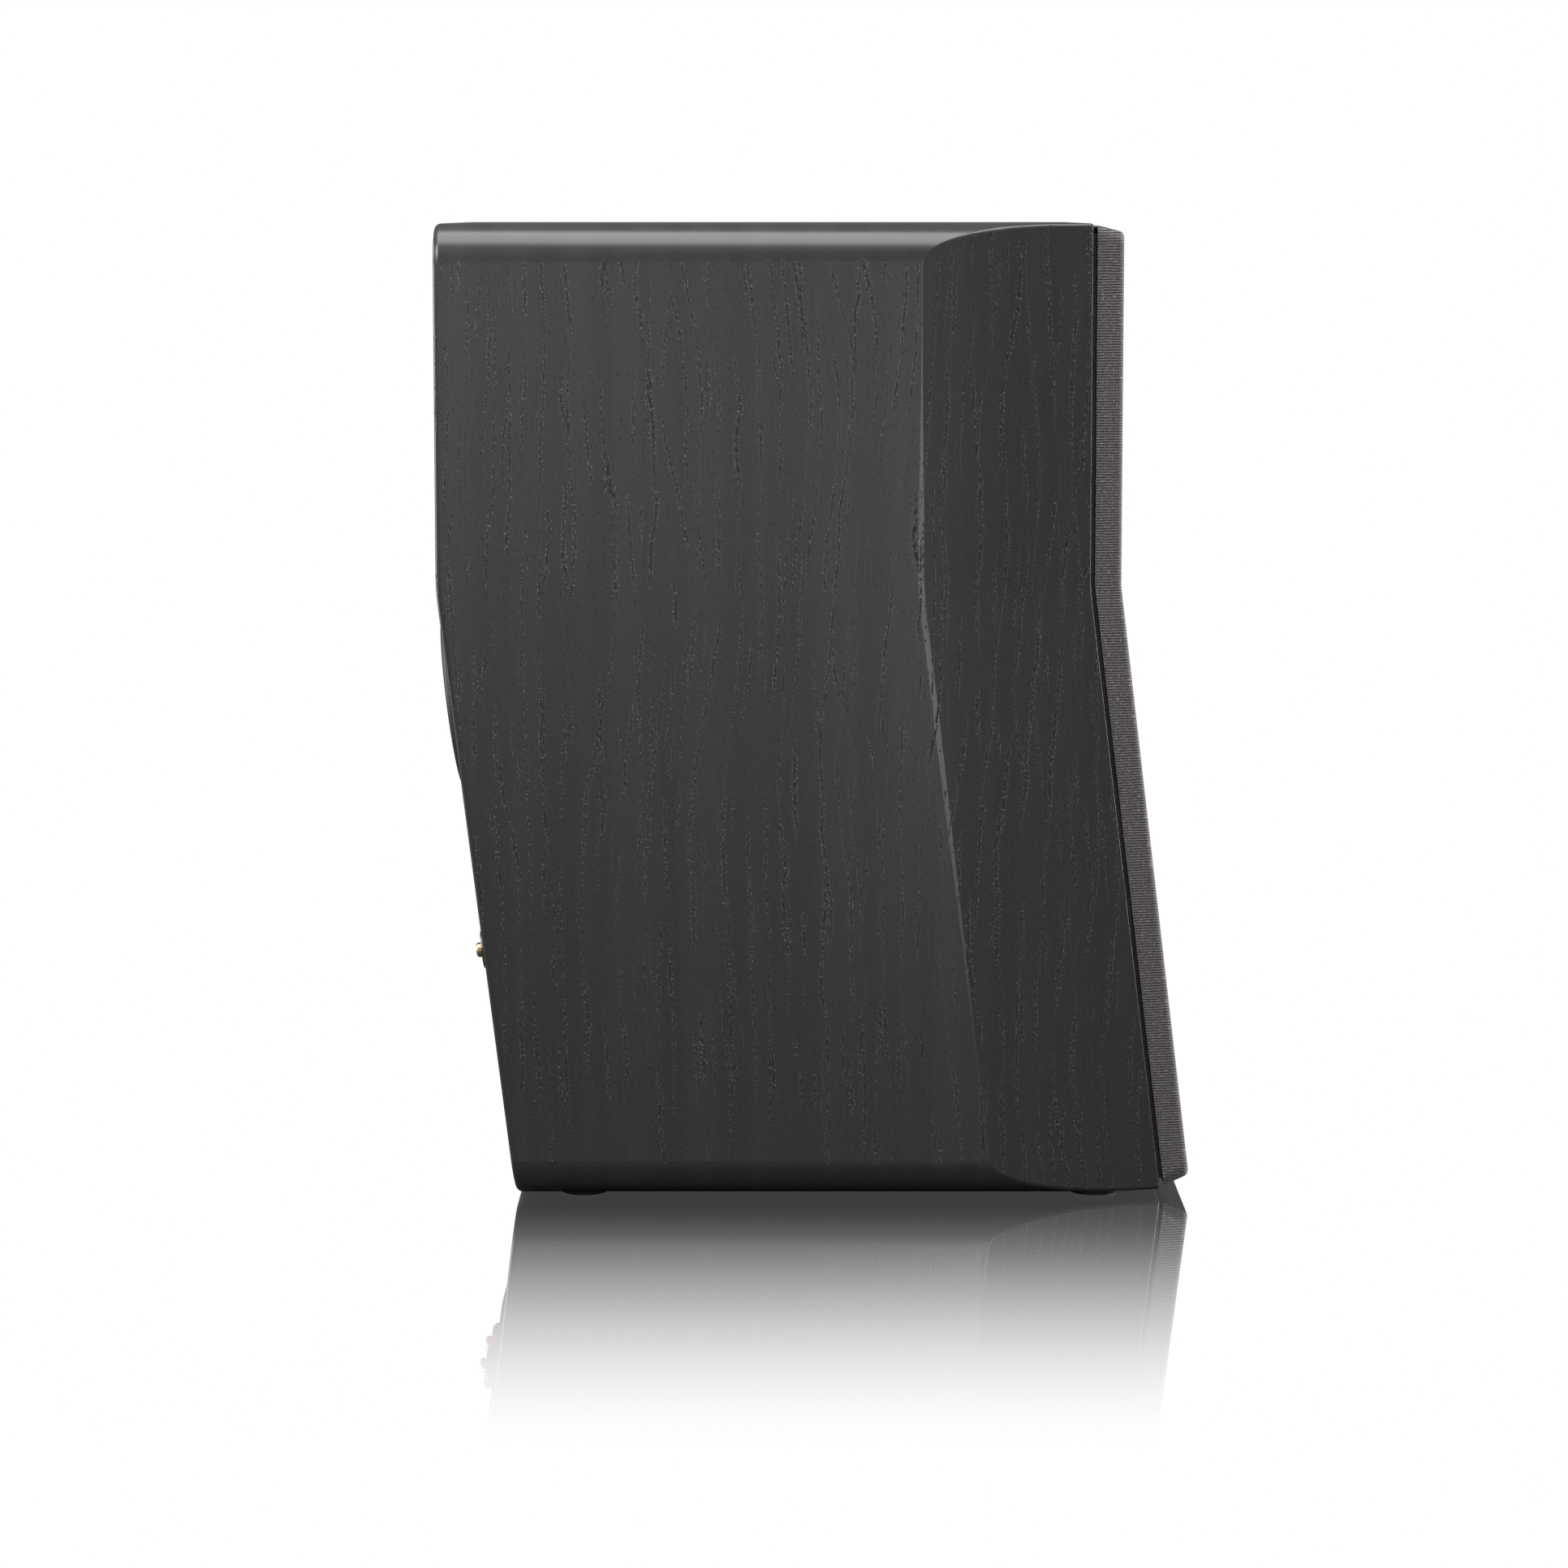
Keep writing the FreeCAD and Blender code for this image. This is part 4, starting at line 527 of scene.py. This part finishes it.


# ---------------------------------------------------------------- suspension rings


def driver_plane(gasket, depth):
    """The centre of a driver's seat on the baffle's face, from the gasket under it, and its axes."""
    low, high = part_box(gasket)
    centre = (low + high) / 2
    tilt = LEAN if centre.z < BEND_HEIGHT else 0.0
    outward = Vector((0, -math.cos(tilt), math.sin(tilt)))
    right = Vector((1, 0, 0))
    return centre + outward * depth, outward, right, right.cross(outward)


def stretching_ring(name, node, place, profile, sectors, material):
    """A ring of sectors round the driver's axis, each swept round from the profile.

    The profile is corners (radius, height along the outward axis, from the baffle's face).
    """
    centre, outward, right, up = place
    steps = 8
    for sector in range(sectors):
        points = []
        for radius, height in profile:
            for step in range(steps + 1):
                angle = 2 * math.pi * (sector + step / steps) / sectors
                spoke = right * math.cos(angle) + up * math.sin(angle)
                points.append(centre + spoke * radius + outward * height)
        faces = strip_faces(len(profile), steps + 1)
        piece = new_mesh(f"{name}_{sector + 1}", points, faces, material)
        middle = 2 * math.pi * (sector + 0.5) / sectors
        spoke = right * math.cos(middle) + up * math.sin(middle)
        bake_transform(piece)
    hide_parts(node)


def waved_disc(inner, seat, outer, level, wave, sheet, waves):
    """The closed outline of a corrugated disc with a flat rim from its seat outwards."""
    top, under = [], []
    steps = 12 * waves
    for step in range(steps + 1):
        radius = inner + (seat - inner) * step / steps
        height = level + wave * math.sin(2 * math.pi * waves * step / steps)
        top.append((radius, height + sheet / 2))
        under.append((radius, height - sheet / 2))
    rim = [(outer, level + sheet / 2), (outer, level - sheet / 2)]
    return top + rim + under[::-1] + [top[0]]


def half_roll(inner, middle, outer, roll, sheet, level):
    """The closed outline of a half-round roll between two flat lips."""
    top, under = [], []
    outside = roll + sheet
    steps = 16
    for step in range(steps + 1):
        turn = math.pi * (1 - step / steps)
        top.append((middle + outside * math.cos(turn), level + sheet + (outside - sheet) * math.sin(turn)))
        under.append((middle + roll * math.cos(turn), level + roll * math.sin(turn)))
    start = [(inner, level), (inner, level + sheet)]
    end = [(outer, level + sheet), (outer, level)]
    return start + top + end + under[::-1] + [(inner, level)]


def finish_woofer_suspension():
    """The roll and the spider, which stretch between the cabinet and the cone."""
    place = driver_plane("woofer_gasket", 5.5 * MM)
    rubber = moulded("roll_rubber", (0.012, 0.012, 0.012), 0.6, 0.00005, 900.0)
    roll = half_roll(60.5 * MM, 68.2 * MM, 76.3 * MM, 5.2 * MM, 0.6 * MM, -3.6 * MM)
    stretching_ring("woofer_roll", "woofer_surround", place, roll, 24,
                    rubber)
    cloth = fibre("spider_cloth", (0.5, 0.3, 0.09), 2500.0, 0.0001, 6000.0)
    spider = waved_disc(19.3 * MM, 46.0 * MM, 51.5 * MM, -45.3 * MM, 1.1 * MM, 0.6 * MM, 5)
    stretching_ring("woofer_spider_web", "woofer_spider", place, spider, 12,
                    cloth)


def finish_tweeter_suspension():
    """The small roll round the dome."""
    place = driver_plane("tweeter_gasket", 4.5 * MM)
    silk = fibre("roll_silk", (0.03, 0.03, 0.032), 3000.0, 0.00003, 9000.0)
    roll = half_roll(12.8 * MM, 14.6 * MM, 19.0 * MM, 1.3 * MM, 0.3 * MM, -4.4 * MM)
    stretching_ring("tweeter_roll", "tweeter_surround", place, roll, 12,
                    silk)


# ---------------------------------------------------------------- wadding


def wadding(material):
    """Fluffy pads on the inner walls: rounded slabs with a lumpy, quilted face."""
    boxes = split_boxes("damping_wadding")
    for index, (low, high) in enumerate(boxes):
        counts = [max(2, round(length / WADDING_GRID)) for length in high - low]
        points, faces = slab(low, high, counts)
        pad = new_mesh(f"wadding_{index + 1}", points, faces, material)
        puff(pad.data, low, high, index)
        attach(pad, "cabinet")
        if index == 0:
            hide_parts("damping_wadding")


def split_boxes(node):
    """The boxes of a node's separate solids."""
    mesh = nodes[node].data
    parent = list(range(len(mesh.vertices)))

    def root(item):
        while parent[item] != item:
            parent[item] = parent[parent[item]]
            item = parent[item]
        return item

    at = {}
    for vertex in mesh.vertices:
        key = tuple(round(c, 6) for c in vertex.co)
        first = at.setdefault(key, vertex.index)
        parent[root(vertex.index)] = root(first)
    for edge in mesh.edges:
        parent[root(edge.vertices[0])] = root(edge.vertices[1])
    groups = {}
    for vertex in mesh.vertices:
        groups.setdefault(root(vertex.index), []).append(vertex.co)
    boxes = []
    for members in groups.values():
        low = Vector([min(co[axis] for co in members) for axis in range(3)])
        high = Vector([max(co[axis] for co in members) for axis in range(3)])
        boxes.append((low, high))
    return sorted(boxes, key=lambda pair: tuple(pair[0]))


def slab(low, high, counts):
    """A box's surface as a shared-vertex grid."""
    index, points, faces = {}, [], []

    def point(i, j, k):
        key = (i, j, k)
        if key not in index:
            index[key] = len(points)
            points.append([low[axis] + (high[axis] - low[axis]) * step / counts[axis]
                           for axis, step in enumerate(key)])
        return index[key]

    for axis in range(3):
        first, second = [other for other in range(3) if other != axis]
        for end in (0, counts[axis]):
            for i in range(counts[first]):
                for j in range(counts[second]):
                    corner = [0, 0, 0]
                    corner[axis] = end
                    quad = []
                    for di, dj in ((0, 0), (1, 0), (1, 1), (0, 1)):
                        corner[first], corner[second] = i + di, j + dj
                        quad.append(point(*corner))
                    outward = (end > 0) == (axis != 1)
                    faces.append(tuple(quad if outward else reversed(quad)))
    return points, faces


def puff(mesh, low, high, seed):
    """Rounds a slab's edges and gives its broad face soft lumps, always inside the slab."""
    random.seed(seed)
    middle, half = (low + high) / 2, (high - low) / 2
    phases = [random.uniform(0, 2 * math.pi) for _ in range(9)]
    for vertex in mesh.vertices:
        offset = vertex.co - middle
        share = [abs(offset[axis]) / half[axis] for axis in range(3)]
        margin = sorted(half[axis] - abs(offset[axis]) for axis in range(3))
        rounding = max(0.0, 1 - margin[1] / WADDING_EDGE) ** 2
        lump = 0.0
        for wave, length in enumerate(LUMP_LENGTHS):
            pitch = 2 * math.pi / length
            waves = [math.sin(pitch * offset[axis] + phases[3 * wave + axis]) for axis in range(3)]
            lump += waves[0] * waves[1] * waves[2]
        shrink = 0.0009 * (1.2 + lump / 1.5) + 0.0022 * rounding
        for axis in range(3):
            if share[axis] > 0.999:
                vertex.co[axis] -= math.copysign(shrink, offset[axis])


# ---------------------------------------------------------------- stage


def make_camera():
    """A long lens just above the height of the cabinet's top, square to its side and tilted down."""
    data = bpy.data.cameras.new("camera")
    data.lens = CAMERA_LENS
    data.sensor_width = 36.0
    camera = bpy.data.objects.new("camera", data)
    bpy.context.scene.collection.objects.link(camera)
    camera.location = (cad_low.x - 1.8, 0.0102, cad_high.z + 0.0056)
    direction = Vector((math.cos(CAMERA_TILT), 0.0, -math.sin(CAMERA_TILT)))
    camera.rotation_euler = direction.to_track_quat("-Z", "Y").to_euler()
    bpy.context.scene.camera = camera


def soft_box(name, place, target, size, power):
    data = bpy.data.lights.new(name, "AREA")
    data.shape = "RECTANGLE"
    data.size, data.size_y = size
    data.energy = power
    light = bpy.data.objects.new(name, data)
    bpy.context.scene.collection.objects.link(light)
    light.visible_camera = False
    light.location = place
    light.rotation_euler = (Vector(target) - Vector(place)).to_track_quat("-Z", "Y").to_euler()


def make_floor():
    """A floor seen as a white that mirrors the speaker near it, and dark to every ray but the camera's."""
    made = Material("floor", (0.04, 0.04, 0.04), 0.6)
    x, y, _ = made.position()
    beyond = []
    for socket, low, high in ((x, cad_low.x, cad_high.x), (y, cad_low.y, cad_high.y)):
        before = made.math("SUBTRACT", low, socket)
        after = made.math("SUBTRACT", socket, high)
        beyond.append(made.math("MAXIMUM", made.math("MAXIMUM", before, after), 0.0))
    squares = made.math("ADD", made.math("MULTIPLY", beyond[0], beyond[0]),
                        made.math("MULTIPLY", beyond[1], beyond[1]))
    away = made.math("SQRT", squares)
    fade = made.ramp(away, 0.0, MIRROR_REACH, 1.0, 0.0)
    mirror = made.node("ShaderNodeBsdfGlossy")
    made.feed(mirror, {"Roughness": 0.0, "Color": (1, 1, 1, 1)})
    paper = made.node("ShaderNodeEmission")
    made.feed(paper, {"Color": (1, 1, 1, 1), "Strength": 1.0})
    shown = made.node("ShaderNodeMixShader")
    share = made.math("MULTIPLY", fade, MIRROR_SHARE)
    made.feed(shown, {0: share, 1: paper.outputs[0], 2: mirror.outputs[0]})
    ray = made.node("ShaderNodeLightPath")
    mixer = made.node("ShaderNodeMixShader")
    made.feed(mixer, {0: ray.outputs["Is Camera Ray"], 1: made.shader.outputs[0], 2: shown.outputs[0]})
    output = next(node for node in made.tree.nodes if node.type == "OUTPUT_MATERIAL")
    made.tree.links.new(mixer.outputs[0], output.inputs["Surface"])
    points = [(-FLOOR_REACH, -FLOOR_REACH, 0), (FLOOR_REACH, -FLOOR_REACH, 0)]
    points += [(FLOOR_REACH, FLOOR_REACH, 0), (-FLOOR_REACH, FLOOR_REACH, 0)]
    floor = new_mesh("floor", points, [(0, 1, 2, 3)], made, smooth=False)


def make_room():
    """A white room to the eye and in the floor's sharp mirror, which lights the speaker only dimly."""
    world = bpy.data.worlds.new("studio")
    bpy.context.scene.world = world
    world.use_nodes = True
    tree = world.node_tree
    ray = tree.nodes.new("ShaderNodeLightPath")
    seen = tree.nodes.new("ShaderNodeMath")
    seen.operation = "MAXIMUM"
    tree.links.new(ray.outputs["Is Camera Ray"], seen.inputs[0])
    tree.links.new(ray.outputs["Is Singular Ray"], seen.inputs[1])
    strength = tree.nodes.new("ShaderNodeMath")
    strength.operation = "MAXIMUM"
    strength.inputs[1].default_value = ROOM_LIGHT
    tree.links.new(seen.outputs[0], strength.inputs[0])
    background = tree.nodes["Background"]
    background.inputs["Color"].default_value = (1, 1, 1, 1)
    tree.links.new(strength.outputs[0], background.inputs["Strength"])


def make_light():
    """Soft boxes: overhead, at the rear corner, to the front and rear on the far side, and two beside."""
    middle = (cad_low + cad_high) / 2
    soft_box("overhead", (-0.3, 0.0, 1.5), (-0.3, 0.0, 0.0), (1.0, 1.5), 26)
    soft_box("corner", (-0.45, 0.5, 0.65), (cad_low.x, cad_high.y, cad_high.z), (0.3, 0.3), 3.4)
    soft_box("front", (0.32, -1.15, 0.36), middle, (0.5, 0.7), 17)
    soft_box("rear", (0.32, 1.15, 0.36), middle, (0.5, 0.7), 6)
    soft_box("card", (-2.1, 0.5, 0.3), (-0.108, 0.1, 0.3), (1.1, 0.5), 1.5)
    soft_box("crease", (-0.9, -0.25, 0.22), (-0.108, -0.05, 0.22), (0.2, 0.4), 1.0)


# ---------------------------------------------------------------- build

bpy.context.scene.view_settings.view_transform = "Standard"
make_camera()
make_room()
make_light()
make_floor()
finish_cabinet()
finish_drivers()
finish_back()
finish_inside()
grille_cloth(speaker_cloth("speaker_cloth"))
finish_woofer_suspension()
finish_tweeter_suspension()
wadding(fibre("wadding", (0.8, 0.8, 0.77), 700.0, 0.0012))
